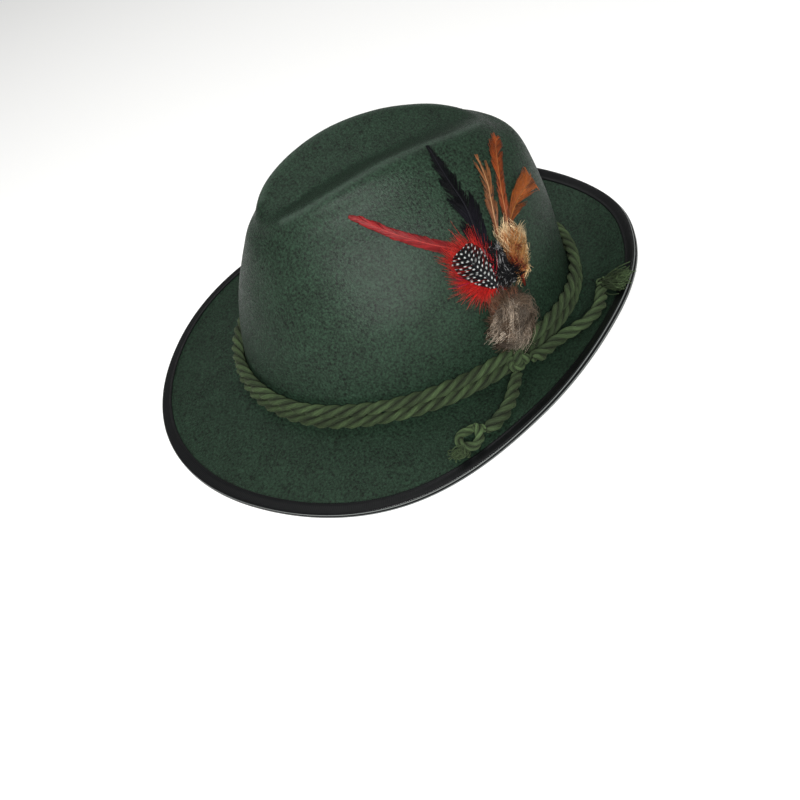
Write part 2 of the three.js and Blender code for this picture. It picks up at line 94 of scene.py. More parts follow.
# A rope's strands: their offset and radius as shares of its diameter, and the length of one turn of a strand's yarns
STRAND_OFFSET = 0.25
STRAND_RADIUS = 0.238
YARN_TURN = 21.0
# White spots of the guinea feather: their spacing, and half their width and length
SPOT_SPACING = 2.5
SPOT_HALF = (0.42, 0.46)

# How the hat's own axes lie when it rests on the surface
REST_TILT = math.radians(-2.01734)
REST_SHIFT = (-0.021, 5.654, 5.131)

# Crown sections: share of height at front, side and back, share of size at front, side and back, and squareness
CROWN_ROWS = np.array([
    [0.0, 0.0, 0.0, 1.0, 1.0, 1.0, 2.1],
    [0.2, 0.2, 0.2, 0.97, 0.985, 0.975, 2.1],
    [0.42, 0.42, 0.42, 0.9, 0.94, 0.95, 2.1],
    [0.59, 0.605, 0.61, 0.82, 0.85, 0.91, 2.15],
    [0.72, 0.77, 0.77, 0.76, 0.72, 0.86, 2.2],
    [0.785, 0.9, 0.815, 0.69, 0.54, 0.765, 2.3],
    [0.835, 1.0, 0.86, 0.64, 0.38, 0.685, 2.5],
    [0.85, 0.95, 0.88, 0.53, 0.195, 0.575, 3.0],
    [0.855, 0.89, 0.893, 0.39, 0.0, 0.465, 3.0],
])
# Brim sections from front to back: reach and rise as shares of the brim's reach, and the power of the curl
BRIM_ROWS = np.array([
    [1.1, -0.17, 1.2],
    [1.08, -0.145, 1.2],
    [1.11, -0.06, 1.3],
    [0.89, 0.16, 1.6],
    [0.745, 0.41, 1.7],
    [0.725, 0.405, 1.7],
    [0.85, 0.29, 1.7],
])
PINCH = {"turn": 62, "spread": 36, "row": 4.3, "above": 1.5, "below": 2.6, "depth": 9}

# The loose cords' routes on the resting hat, in metres
TAIL_FRONT = [
    (0.1008, 0.0182, 0.0113),
    (0.1044, 0.0131, 0.0109),
    (0.1104, 0.0076, 0.0115),
    (0.1164, 0.0011, 0.0123),
    (0.1210, -0.0067, 0.0127),
    (0.1227, -0.0130, 0.0126),
    (0.1229, -0.0174, 0.0124),
]
TAIL_REAR = [
    (0.0979, 0.0294, 0.0132),
    (0.0962, 0.0362, 0.0101),
    (0.0936, 0.0446, 0.0093),
    (0.0932, 0.0530, 0.0099),
    (0.0956, 0.0612, 0.0124),
    (0.0978, 0.0689, 0.0156),
    (0.0950, 0.0778, 0.0166),
    (0.0876, 0.0852, 0.0157),
    (0.0826, 0.0892, 0.0146),
]


# Shape of the hat

def unit(vectors):
    return vectors / np.maximum(np.linalg.norm(vectors, axis=-1, keepdims=True), 1e-12)


def between(rows, place, mirrored=False):
    """Values between the rows of a table by a Catmull-Rom curve."""
    rows, place = np.asarray(rows, float), np.asarray(place, float)
    first, last = (rows[1], rows[-2]) if mirrored else (2 * rows[0] - rows[1], 2 * rows[-1] - rows[-2])
    padded = np.vstack([first, rows, last])
    i = np.clip(np.floor(place).astype(int), 0, len(rows) - 2)
    t = (place - i)[..., None]
    a, b, c, d = (padded[i + k] for k in range(4))
    return b + 0.5 * t * (c - a + t * (2 * a - 5 * b + 4 * c - d + t * (3 * (b - c) + d - a)))


def crown_point(turn, row):
    """Points of the crown's outer face in millimetres, at turns from the front in degrees and places among the rows."""
    turn, row = np.broadcast_arrays(np.asarray(turn, float), np.asarray(row, float))
    sine, cosine = np.sin(np.radians(turn)), np.cos(np.radians(turn))
    up_front, up_side, up_back, front, side, back, square = np.moveaxis(between(CROWN_ROWS, row), -1, 0)
    k = (np.abs(sine) ** square + np.abs(cosine) ** square) ** (-1 / square)
    up = up_side + (np.where(cosine > 0, up_front, up_back) - up_side) * cosine**2
    x = CROWN_HALF_WIDTH * np.maximum(side, 0) * sine * k
    y = -CROWN_HALF_LENGTH * np.where(cosine > 0, front, back) * cosine * k
    away = (np.minimum(turn, 360 - turn) - PINCH["turn"]) / PINCH["spread"]
    above = row - PINCH["row"]
    above = above / np.where(above > 0, PINCH["above"], PINCH["below"])
    dent = PINCH["depth"] * np.exp(-away**2) * np.maximum(0, 1 - above**2) ** 1.5
    inward = unit(np.stack([-np.sign(sine) * np.sqrt(np.abs(sine)), 0.5 * cosine], -1))
    return np.stack([x + inward[..., 0] * dent, y + inward[..., 1] * dent, CROWN_HEIGHT * up], -1)


def outward_at(turn):
    run = crown_point(np.add(turn, 0.01), 0) - crown_point(np.subtract(turn, 0.01), 0)
    return unit(np.stack([run[..., 1], -run[..., 0], 0 * run[..., 0]], -1))


def brim_point(turn, share):
    """Points of the brim's upper face in millimetres."""
    turn, share = np.broadcast_arrays(np.asarray(turn, float), np.asarray(share, float))
    place = np.minimum(turn % 360, 360 - turn % 360) / 30
    reach, rise, curl = np.moveaxis(between(BRIM_ROWS, place, True), -1, 0)
    point = crown_point(turn, 0) + outward_at(turn) * (FOLD_RADIUS + BRIM_REACH * reach * share)[..., None]
    point[..., 2] += BRIM_REACH * rise * np.maximum(share, 0) ** curl
    return point


def off_face(face, turn, place, lift, step):
    """Points lifted off a face of the hat, and the face's normals there, in millimetres in the hat's own axes."""
    around = face(np.add(turn, 0.5), place) - face(np.subtract(turn, 0.5), place)
    onward = face(turn, np.add(place, step)) - face(turn, np.subtract(place, step))
    normal = unit(np.cross(around, onward)) * (1 if face is crown_point else -1)
    return face(turn, place) + normal * np.asarray(lift)[..., None], normal


def on_crown(turn, row, lift=0.0):
    return off_face(crown_point, turn, row, lift, 0.02)


def on_brim(turn, share, lift=0.0):
    return off_face(brim_point, turn, share, lift, 0.01)


def resting_way(vectors):
    """Ways in the hat's own axes, turned as the hat lies when it rests."""
    x, y, z = np.moveaxis(vectors, -1, 0)
    c, s = math.cos(REST_TILT), math.sin(REST_TILT)
    return np.stack([x, c * y - s * z, s * y + c * z], -1)


def resting(points):
    """Points in millimetres in the hat's own axes, brought to metres on the resting hat."""
    return (resting_way(points) + np.array(REST_SHIFT)) * MM


# Mesh making

def quad_uvs(u, u_next, v, v_next):
    """UVs of quads whose corners go over first in v and then in u."""
    corners = [np.stack(pair, -1) for pair in ((u, v), (u, v_next), (u_next, v_next), (u_next, v))]
    return np.stack(corners, -2).reshape(-1, 2)


class Shell:
    """Closed tubes gathered for one piece, with a UV map in millimetres and a tint for each point."""

    def __init__(self):
        self.points, self.faces, self.uvs, self.tints, self.count = [], [], [], [], 0

    def tubes(self, paths, radii, across, tint, sides=3, flat=1.0, closed=False,
              lobes=0, lobe_depth=0.0, lobe_turn=0.0, inner=1.0):
        """Adds a tube along each path. Paths (n, k, 3) and radii (n, k) are in metres, across is each tube's wide way,
        flat its height over its width, and inner the share of the tint kept on the side that looks away from across:
        painted shade on that side."""
        paths = np.asarray(paths, float)
        n, k, _ = paths.shape
        radii = np.broadcast_to(radii, (n, k))
        run = np.roll(paths, -1, 1) - np.roll(paths, 1, 1) if closed else np.gradient(paths, axis=1)
        run = unit(run)
        across = np.broadcast_to(across, paths.shape)
        wide = unit(across - (across * run).sum(-1, keepdims=True) * run)
        over = np.cross(run, wide)
        steps = np.linalg.norm(np.diff(paths, axis=1), axis=-1) / MM
        length = np.concatenate([np.zeros((n, 1)), np.cumsum(steps, 1)], 1)
        angle = 2 * np.pi * np.arange(sides) / sides
        swell = 1 + lobe_depth * np.cos(lobes * angle - lobe_turn * length[..., None])
        spokes = np.cos(angle)[:, None] * wide[:, :, None] + flat * np.sin(angle)[:, None] * over[:, :, None]
        ring = paths[:, :, None] + (radii[:, :, None] * swell)[..., None] * spokes
        self.points.append(ring.reshape(-1, 3))
        tint = np.broadcast_to(np.asarray(tint, float), (n, k, 3))
        # Painted shade: the side that looks away from across is darkened down to the share inner of the tint
        around = inner + (1 - inner) * ((1 + np.cos(angle)) / 2) ** 1.5
        self.tints.append((tint[:, :, None] * around[:, None]).reshape(-1, 3))
        rows = np.arange(k if closed else k - 1)
        here = (np.arange(n) * k)[:, None, None] + rows[:, None]
        there = (np.arange(n) * k)[:, None, None] + ((rows + 1) % k)[:, None]
        j, j_next = np.arange(sides), (np.arange(sides) + 1) % sides
        quads = np.stack([here * sides + j, here * sides + j_next, there * sides + j_next, there * sides + j], -1)
        self.faces.extend((quads.reshape(-1, 4) + self.count).tolist())
        u = np.broadcast_to(length[:, rows, None], quads.shape[:3])
        last = length[:, -1:] + (steps.mean() if k > 1 else 0)
        u_next = np.concatenate([length, last], 1)[:, rows + 1, None]
        u_next = np.broadcast_to(u_next, quads.shape[:3])
        v = np.broadcast_to(j / sides, quads.shape[:3])
        v_next = np.broadcast_to((j + 1) / sides, quads.shape[:3])
        self.uvs.append(quad_uvs(u, u_next, v, v_next))
        if not closed:
            base = (np.arange(n) * k * sides)[:, None] + self.count
            first, end = base + j[::-1], base + (k - 1) * sides + j
            self.faces.extend(first.tolist())
            self.faces.extend(end.tolist())
            self.uvs.append(np.tile([0.0, 0.5], (n * sides, 1)))
            self.uvs.append(np.repeat(np.stack([length[:, -1], 0.5 + 0 * length[:, -1]], -1), sides, 0))
        self.count += n * k * sides

    def piece(self, name, material, slot, *nodes):
        """The gathered tubes as one object that rides on the hat and stands for CAD nodes."""
        mesh = bpy.data.meshes.new(name)
        mesh.from_pydata(np.concatenate(self.points).tolist(), [], self.faces)
        mesh.uv_layers.new(name="UVMap").data.foreach_set("uv", np.concatenate(self.uvs).ravel())
        tint = mesh.attributes.new("tint", "FLOAT_COLOR", "POINT")
        tints = np.concatenate(self.tints)
        tint.data.foreach_set("color", np.c_[tints, np.ones(len(tints))].ravel())
        mesh.polygons.foreach_set("use_smooth", [True] * len(mesh.polygons))
        mesh.materials.append(material)
        mesh.update()
        piece = bpy.data.objects.new(name, mesh)
        bpy.context.scene.collection.objects.link(piece)
        return dressed(piece, slot, *nodes)


def dressed(piece, slot, *nodes):
    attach(piece, "root")
    if nodes:
        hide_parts(*nodes)
    return piece


def smooth_line(points, count, closed=False):
    """A dense line through points by a Catmull-Rom curve, evenly spaced."""
    points = np.asarray(points, float)
    if closed:
        padded = np.vstack([points[-1], points, points[0], points[1]])
        place = np.linspace(1, len(points) + 1, 40 * len(points) + 1)
        line = between(padded, place)
    else:
        line = between(points, np.linspace(0, len(points) - 1, 40 * len(points)))
    length = np.r_[0, np.cumsum(np.linalg.norm(np.diff(line, axis=0), axis=1))]
    want = np.linspace(0, length[-1], count + 1 if closed else count)
    even = np.stack([np.interp(want, length, line[:, i]) for i in range(3)], -1)
    return even[:-1] if closed else even


def steady_frames(line, start, closed=False):
    """Two ways square to a line that turn as little as they can along it."""
    run = unit(np.roll(line, -1, 0) - np.roll(line, 1, 0) if closed else np.gradient(line, axis=0))
    way = [unit(start - run[0] * (start @ run[0]))]
    for r in run[1:]:
        way.append(unit(way[-1] - r * (way[-1] @ r)))
    way = np.array(way)
    if closed:
        back = unit(way[-1] - run[0] * (way[-1] @ run[0]))
        slip = math.atan2(np.cross(back, way[0]) @ run[0], back @ way[0])
        angle = slip * np.arange(len(line)) / len(line)
        side = np.cross(run, way)
        way = way * np.cos(angle)[:, None] + side * np.sin(angle)[:, None]
    return way, np.cross(run, way)


def lay_rope(shell, line, out, up, diameter, pitch, tint, rng, strands=3, closed=False, phase=0.0):
    """A laid rope of strands along a line in metres; diameter in metres, pitch in millimetres."""
    k = len(line)
    steps = np.linalg.norm(np.roll(line, -1, 0) - line if closed else np.diff(line, axis=0), axis=1) / MM
    total = steps.sum()
    length = np.r_[0, np.cumsum(steps)][:k]
    turns = round(total / pitch) if closed else total / pitch
    slack = 1 + 0.07 * np.sin(length / 9.0 + rng.random() * 6) + 0.05 * np.sin(length / 3.7 + rng.random() * 6)
    end = np.clip(np.minimum(length, total - length) / 2.6, 0, 1) ** 0.5
    if closed:
        slack = 1 + (slack - 1) * np.minimum(1, np.minimum(length, total - length) / 30)
    else:
        slack = slack * (0.35 + 0.65 * end)
    for strand in range(strands):
        angle = phase + 2 * np.pi * (turns * length / total + strand / strands)
        radial = out * np.cos(angle)[:, None] + up * np.sin(angle)[:, None]
        centre = line + radial * (STRAND_OFFSET * diameter * slack)[:, None]
        shade = np.asarray(tint) * (1.05 + 0.5 * rng.random())
        shade = shade * (1 + 0.22 * np.sin(length / 5.3 + 2 * strand + rng.random() * 6))[:, None]
        yarn_turns = round(total / YARN_TURN) / total if closed else 1 / YARN_TURN
        radius = STRAND_RADIUS * diameter * (1 if closed else 0.45 + 0.55 * end)
        # Each strand keeps only 8% of its tint on its side towards the rope's core: painted shade in the valleys
        # between strands
        shell.tubes(centre[None], radius, radial[None], shade[None], sides=16, flat=0.92, closed=closed,
                    lobes=5, lobe_depth=0.08, lobe_turn=-2 * np.pi * yarn_turns, inner=0.08)


def locks(shell, rng, edge, root, spread, count, hairs, radius, tone, splay=(1.0, 0.06, 0.7), drop=2.5,
          share=(0.6, 1.0), bulge=0.8, wave=0.6, curl=0.0, k=6, vary=0.35):
    """Locks of hair or barbs from a root out to an edge, all as turn, row and lift on the crown; radius in mm.

    Spread scatters the roots and splay the tips, drop lowers the tips in mm, share is how far a lock reaches to the
    edge, bulge lifts its middle, wave and curl bend it, k is the points along a hair and vary how far tints differ.
    """
    place = (np.arange(count) + rng.random(count)) / count
    tips = along(edge, place)
    tips[:, 2] -= rng.random(count) * drop
    roots = np.array(root) + rng.normal(size=(count, 3)) * spread
    tips = roots + (tips - roots) * rng.uniform(*share, (count, 1))
    n = count * hairs
    which = np.repeat(np.arange(count), hairs)
    starts = roots[which] + rng.normal(size=(n, 3)) * np.array(spread) * 0.4
    ends = tips[which] + rng.normal(size=(n, 3)) * splay
    t = np.linspace(0, 1, k)[None, :]
    line = starts[:, None] + (ends - starts)[:, None] * (t * rng.uniform(0.75, 1.0, (n, 1)))[..., None]
    line[..., 2] += bulge * np.sin(np.pi * np.minimum(t * 1.15, 1))
    bend = (rng.normal(size=(count, 3)) * wave)[which] + rng.normal(size=(n, 3)) * wave * 0.35
    line += bend[:, None] * np.array([1.0, 0.05, 0.6]) * np.sin(np.pi * t)[..., None]
    phase = (rng.random(count) * 6.3)[which][:, None] + rng.normal(size=(n, 1)) * 0.3
    turns = (rng.uniform(0.7, 1.5, count) * 2 * np.pi)[which][:, None]
    line[..., 0] += curl * np.sin(turns * t + phase) * t
    line[..., 1] += 0.045 * curl * np.cos(turns * t + phase) * t
    line[..., 2] = np.maximum(line[..., 2], 0.3)
    paths, _ = on_crown(line[..., 0], line[..., 1], line[..., 2])
    tint = tone(place[which][:, None, None], t[..., None])
    tint = tint * rng.uniform(1 - vary, 1 + vary, count)[which][:, None, None] * rng.uniform(0.78, 1.22, (n, 1, 1))
    taper = 1 - 0.75 * t**1.5
    shell.tubes(resting(paths), radius * MM * taper * rng.uniform(0.75, 1.25, (n, 1)), rng.normal(size=(n, 1, 3)), tint)


def along(edge, place):
    """Points at places 0 to 1 along a short table of turn, row and lift."""
    return between(edge, np.asarray(place) * (len(edge) - 1))


# Finishes

def linear(code, strength=1.0):
    """An sRGB hex colour as linear red, green and blue."""
    values = [int(code[i:i + 2], 16) / 255 for i in (1, 3, 5)]
    return tuple(strength * (v / 12.92 if v <= 0.04045 else ((v + 0.055) / 1.055) ** 2.4) for v in values)


def set_inputs(tree, node, values):
    """Sets a node's inputs to plain values, or links them where a value is a socket."""
    for name, value in values.items():
        if isinstance(value, bpy.types.NodeSocket):
            tree.links.new(value, node.inputs[name])
        else:
            node.inputs[name].default_value = value


def add_node(tree, kind, inputs=None, **settings):
    """Adds a node with its settings, and sets or links its inputs."""
    made = tree.nodes.new(kind)
    for name, value in settings.items():
        setattr(made, name, value)
    set_inputs(tree, made, inputs or {})
    return made


def new_finish(name):
    """A material with its Principled shader."""
    material = bpy.data.materials.new(name)
    material.use_nodes = True
    return material, material.node_tree, material.node_tree.nodes["Principled BSDF"]


def own_tint(tree, shade):
    """A piece's own tint, made darker or lighter by a shade."""
    tint = add_node(tree, "ShaderNodeAttribute", attribute_name="tint").outputs["Color"]
    grey = add_node(tree, "ShaderNodeCombineColor", {0: shade, 1: shade, 2: shade}).outputs[0]
    mix = add_node(tree, "ShaderNodeMix", {"Factor": 1.0, 6: tint, 7: grey}, data_type="RGBA", blend_type="MULTIPLY")
    return mix.outputs[2]


def pressed_wool_felt(colours):
    """Wool felt, steamed and pressed on a block: matt, with a short nap that has a faint satin under a lamp."""
    material, tree, shader = new_finish("pressed_wool_felt")
    place = add_node(tree, "ShaderNodeTexCoord").outputs["Object"]
    # Soft patches about 14 mm across, and mixed fibres in flecks about 1 mm across
    patches = add_node(tree, "ShaderNodeTexNoise", {
        "Vector": place, "Scale": 1 / (14 * MM), "Detail": 3.0, "Roughness": 0.6})
    flecks = add_node(tree, "ShaderNodeTexNoise", {
        "Vector": place, "Scale": 1 / (1.3 * MM), "Detail": 3.0, "Roughness": 0.7})
    blend = add_node(tree, "ShaderNodeMath", {0: patches.outputs["Fac"], 1: 0.15}, operation="MULTIPLY")
    blend = add_node(tree, "ShaderNodeMath", {0: flecks.outputs["Fac"], 1: 0.85, 2: blend.outputs[0]},
                     operation="MULTIPLY_ADD")
    ramp = add_node(tree, "ShaderNodeMapRange", {"Value": blend.outputs[0], "From Min": 0.37, "From Max": 0.63},
                    clamp=False)
    colour = add_node(tree, "ShaderNodeMix", {
        "Factor": ramp.outputs[0], 6: (*colours.felt_shade, 1), 7: (*colours.felt_light, 1),
    }, data_type="RGBA", clamp_factor=False)
    # A painted highlight: the crest of the crease is made paler
    crest_highlight = add_node(tree, "ShaderNodeAttribute", attribute_name="crest_highlight").outputs["Fac"]
    painted_highlight = add_node(tree, "ShaderNodeMath", {0: crest_highlight, 1: 0.12}, operation="MULTIPLY")
    colour = add_node(tree, "ShaderNodeMix", {
        "Factor": painted_highlight.outputs[0], 6: colour.outputs[2], 7: (*colours.felt_sheen_and_highlight, 1)}, data_type="RGBA")
    # Nap about 1 mm long: fibres that lie flat are smoother than those that stand
    nap = add_node(tree, "ShaderNodeTexNoise", {
        "Vector": place, "Scale": 1 / (1.0 * MM), "Detail": 3.0, "Roughness": 0.75})
    laid = add_node(tree, "ShaderNodeMapRange", {
        "Value": nap.outputs["Fac"], "From Min": 0.38, "From Max": 0.62, "To Min": 0.62, "To Max": 0.33})
    bump = add_node(tree, "ShaderNodeBump", {"Strength": 1.0, "Distance": 0.8 * MM, "Height": nap.outputs["Fac"]})
    # The steamed surface of the nap is flatter than the fibres, and gives the soft lit patch with its fine sparkle
    satin = add_node(tree, "ShaderNodeBump", {"Strength": 1.0, "Distance": 0.26 * MM, "Height": nap.outputs["Fac"]})
    set_inputs(tree, shader, {
        "Base Color": colour.outputs[2], "Roughness": laid.outputs[0], "Specular IOR Level": 0.08, "IOR": 1.5,
        "Coat Weight": 0.025, "Coat Roughness": 0.33, "Coat IOR": 3.5, "Coat Normal": satin.outputs[0],
        "Sheen Weight": 0.01, "Sheen Roughness": 0.5, "Sheen Tint": (*colours.felt_sheen_and_highlight, 1),
        "Normal": bump.outputs[0],
    })
    return material


def satin_binding_tape(colours):
    """Ribbed rayon tape: black, with a soft gloss across its fine ribs."""
    material, tree, shader = new_finish("satin_binding_tape")
    uv = add_node(tree, "ShaderNodeUVMap", uv_map="UVMap").outputs[0]
    # Ribs across the tape, drawn about twice as far apart as real ones so that they show
    ribs = add_node(tree, "ShaderNodeTexWave", {
        "Vector": uv, "Scale": 2 * math.pi / 20 / TAPE_RIB, "Distortion": 0.6, "Detail": 2.0}, bands_direction="X")
    # Wear in patches about 8 mm long
    wear = add_node(tree, "ShaderNodeTexNoise", {"Vector": uv, "Scale": 0.12, "Detail": 3.0})
    rough = add_node(tree, "ShaderNodeMapRange", {
        "Value": wear.outputs["Fac"], "From Min": 0.3, "From Max": 0.7, "To Min": 0.17, "To Max": 0.26})
    # The fold over the brim's edge is pressed smooth for about 2 mm to each side of its middle
    across = add_node(tree, "ShaderNodeSeparateXYZ", {0: uv}).outputs[1]
    off_fold = add_node(tree, "ShaderNodeMath", {0: across, 1: TAPE_FOLD}, operation="SUBTRACT")
    off_fold = add_node(tree, "ShaderNodeMath", {0: off_fold.outputs[0]}, operation="ABSOLUTE")
    open_weave = add_node(tree, "ShaderNodeMapRange", {
        "Value": off_fold.outputs[0], "From Min": 1.9, "From Max": 2.6, "To Min": 0.0, "To Max": 0.16})
    rough = add_node(tree, "ShaderNodeMath", {0: rough.outputs[0], 1: open_weave.outputs[0]}, operation="ADD")
    tone = add_node(tree, "ShaderNodeMix", {
        "Factor": wear.outputs["Fac"], 6: (*colours.tape_black, 1), 7: (*colours.tape_worn, 1)}, data_type="RGBA")
    # Its two rounded corners get a thin pale line: a painted highlight
    off_corner = add_node(tree, "ShaderNodeMath", {0: off_fold.outputs[0], 1: FOLD_CORNER}, operation="SUBTRACT")
    off_corner = add_node(tree, "ShaderNodeMath", {0: off_corner.outputs[0]}, operation="ABSOLUTE")
    painted_highlight = add_node(tree, "ShaderNodeMapRange", {
        "Value": off_corner.outputs[0], "From Min": 0.12, "From Max": 0.34, "To Min": 0.9, "To Max": 0.0})
    tone = add_node(tree, "ShaderNodeMix", {
        "Factor": painted_highlight.outputs[0], 6: tone.outputs[2], 7: (*colours.tape_corner_highlight, 1)}, data_type="RGBA")
    bump = add_node(tree, "ShaderNodeBump", {"Strength": 0.5, "Distance": 0.12 * MM, "Height": ribs.outputs["Fac"]})
    set_inputs(tree, shader, {
        "Base Color": tone.outputs[2], "Roughness": rough.outputs[0], "Specular IOR Level": 0.16, "IOR": 1.53,
        "Normal": bump.outputs[0],
    })
    return material


def twisted_cord_yarn(colours):
    """Laid wool and rayon cord: soft strands of combed yarn with fine fibres along them, and dark valleys that are
    painted shade in the strands' tint.
    """
    material, tree, shader = new_finish("twisted_cord_yarn")
    uv = add_node(tree, "ShaderNodeUVMap", uv_map="UVMap").outputs[0]
    # The fibres run along each strand: the pattern is stretched along u, which is in mm, and close along v
    along_strand = add_node(tree, "ShaderNodeMapping", {"Vector": uv, "Scale": (0.1, 9.0, 1.0)})
    yarns = add_node(tree, "ShaderNodeTexNoise", {
        "Vector": along_strand.outputs[0], "Scale": 2.2, "Detail": 4.0, "Roughness": 0.7})
    shade = add_node(tree, "ShaderNodeMapRange", {
        "Value": yarns.outputs["Fac"], "From Min": 0.3, "From Max": 0.7, "To Min": 0.35, "To Max": 1.6})
    bump = add_node(tree, "ShaderNodeBump", {"Strength": 0.9, "Distance": 0.8 * MM, "Height": yarns.outputs["Fac"]})
    set_inputs(tree, shader, {
        "Base Color": own_tint(tree, shade.outputs[0]), "Roughness": 0.8, "Specular IOR Level": 0.25, "IOR": 1.5,
        "Sheen Weight": 0.1, "Sheen Roughness": 0.4, "Sheen Tint": (*colours.cord_light, 1),
        "Normal": bump.outputs[0],
    })
    return material


def tinted_fibre(name, roughness, specular):
    """Hair, barb or thread that takes its colour from each strand's tint, with a slight unevenness along it."""
    material, tree, shader = new_finish(name)
    place = add_node(tree, "ShaderNodeTexCoord").outputs["Object"]
    # Tone changes about every 2.5 mm
    uneven = add_node(tree, "ShaderNodeTexNoise", {"Vector": place, "Scale": 1 / (2.5 * MM), "Detail": 2.0})
    shade = add_node(tree, "ShaderNodeMapRange", {
        "Value": uneven.outputs["Fac"], "From Min": 0.3, "From Max": 0.7, "To Min": 0.8, "To Max": 1.15})
    set_inputs(tree, shader, {
        "Base Color": own_tint(tree, shade.outputs[0]), "Roughness": roughness, "Specular IOR Level": specular,
        "IOR": 1.55,
    })
    return material


def seamless_paper(colours):
    """Matt background paper, lit a little from behind: pale and even, with a trace of tooth."""
    material, tree, shader = new_finish("seamless_paper")
    place = add_node(tree, "ShaderNodeTexCoord").outputs["Object"]
    # Tooth about 2.5 mm across
    tooth = add_node(tree, "ShaderNodeTexNoise", {"Vector": place, "Scale": 1 / (2.5 * MM), "Detail": 2.0})
    bump = add_node(tree, "ShaderNodeBump", {"Strength": 0.03, "Distance": 0.1 * MM, "Height": tooth.outputs["Fac"]})
    set_inputs(tree, shader, {
        "Base Color": (*colours.paper, 1), "Roughness": 0.9, "Normal": bump.outputs[0],
        "Emission Color": (1, 1, 1, 1), "Emission Strength": 0.22,
    })
    return material


# Colours and sizes that a user would change

def colour_choice(name, description, code):
    return bpy.props.FloatVectorProperty(
        name=name, description=description, default=linear(code), subtype="COLOR", size=3, min=0.0, max=1.0)


def length_choice(name, description, metres):
    return bpy.props.FloatProperty(name=name, description=description, default=metres, unit="LENGTH")


class HatColours(bpy.types.PropertyGroup):
    """Colours of the hat"""
    felt_shade: colour_choice("Felt shade", "Darker wool in the felt", "#0c130d")
    felt_light: colour_choice("Felt light", "Lighter wool in the felt", "#283d2e")
    # Felt bloom is also the colour of the painted highlight along the crease's crest
    felt_sheen_and_highlight: colour_choice("Felt bloom", "Pale nap at grazing angles", "#8fa295")
    tape_black: colour_choice("Tape black", "Binding tape", "#08090a")
    tape_worn: colour_choice("Tape worn", "Binding tape where it is rubbed", "#0d0e0f")
    # Painted highlight along the two corners of the tape's fold
    tape_corner_highlight: colour_choice("Tape rubbed", "Binding tape along the corners of its fold", "#6c706e")
    cord: colour_choice("Cord", "Cord yarn", "#2f3d24")
    cord_light: colour_choice("Cord light", "Bloom on the cord yarn", "#a9b88f")
    fur: colour_choice("Fur", "Underfur of the tuft", "#3f3023")
    fur_tip: colour_choice("Fur tip", "Pale tips of the tuft", "#dfcfba")
    paper: colour_choice("Paper", "Floor paper", "#f4f4f2")


class HatSizes(bpy.types.PropertyGroup):
    """Sizes of what is laid over the solids."""
    cord_pitch: length_choice("Cord pitch", "Length of one full turn of a strand", 0.027)
    felt_unevenness: length_choice("Felt unevenness", "Depth of the felt's soft unevenness", 0.0006)
    barb_spacing: length_choice("Barb spacing", "Distance between the barbs of a feather", 0.00042)
    fur_hairs: bpy.props.IntProperty(
        name="Fur hairs", description="Number of hairs in the fur tuft", default=4300, min=400)


def settings():
    return bpy.context.scene.hat_colours, bpy.context.scene.hat_sizes


# Pieces

def select_only(piece):
    bpy.ops.object.select_all(action="DESELECT")
    piece.select_set(True)
    bpy.context.view_layer.objects.active = piece


def cad_copy(node, name):
    """A merged copy of a CAD node as a new piece of quads, made with the object and mesh tools."""
    select_only(frame["nodes"][node])
    bpy.ops.object.duplicate()
    piece = bpy.context.view_layer.objects.active
    piece.name = piece.data.name = name
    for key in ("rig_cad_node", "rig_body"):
        del piece[key]
    piece.data.materials.clear()
    bpy.ops.object.mode_set(mode="EDIT")
    bpy.ops.mesh.select_all(action="SELECT")
    bpy.ops.mesh.remove_doubles(threshold=0.00002)
    bpy.ops.mesh.tris_convert_to_quads(face_threshold=math.radians(60), shape_threshold=math.radians(60))
    bpy.ops.object.mode_set(mode="OBJECT")
    return piece


def finish_modifier(piece, kind, name, **values):
    """Adds a modifier, sets it and applies it."""
    select_only(piece)
    modifier = piece.modifiers.new(name, kind)
    for key, value in values.items():
        setattr(modifier, key, value)
    bpy.ops.object.modifier_apply(modifier=modifier.name)


class HAT_OT_felt_body(bpy.types.Operator):
    """Crown and brim of one felt, smoothed and a little uneven"""
    bl_idname = "hat.felt_body"
    bl_label = "Felt body"

    def execute(self, context):
        colours, sizes = settings()
        felt = cad_copy("felt_body", "felt_crown_and_brim")
        finish_modifier(felt, "SUBSURF", "Smooth felt", levels=2, render_levels=2)
        # Broad and finer unevenness: its size in metres and its share of the depth
        for size, share in ((0.05, 1.0), (0.014, 0.4)):
            lumps = bpy.data.textures.new("felt_lumps", "CLOUDS")
            lumps.noise_scale = size
            finish_modifier(felt, "DISPLACE", "Uneven felt", texture=lumps, texture_coords="LOCAL", mid_level=0.5,
                            strength=sizes.felt_unevenness * share)
        # Nothing dips below the surface that the hat rests on
        points = np.zeros(len(felt.data.vertices) * 3)
        felt.data.vertices.foreach_get("co", points)
        points = points.reshape(-1, 3)
        points[:, 2] = np.maximum(points[:, 2], 0)
        felt.data.vertices.foreach_set("co", points.ravel())
        # Closeness to the crease's crest, where the felt's finish paints a pale highlight
        turns = np.linspace(*CREST_TURNS, 160)
        crest = resting(crown_point(np.r_[turns, 360 - turns], CREST_ROW))
        nearest = np.full(len(points), 1.0)
        for point in crest:
            nearest = np.minimum(nearest, np.linalg.norm(points - point, axis=1))
        crest_highlight = felt.data.attributes.new("crest_highlight", "FLOAT", "POINT")
        crest_highlight.data.foreach_set("value", np.exp(-((nearest / (CREST_HIGHLIGHT_WIDTH * MM)) ** 2)))
        bpy.ops.object.shade_smooth()
        felt.data.materials.append(pressed_wool_felt(colours))
        dressed(felt, "felt", "felt_body")
        return {"FINISHED"}


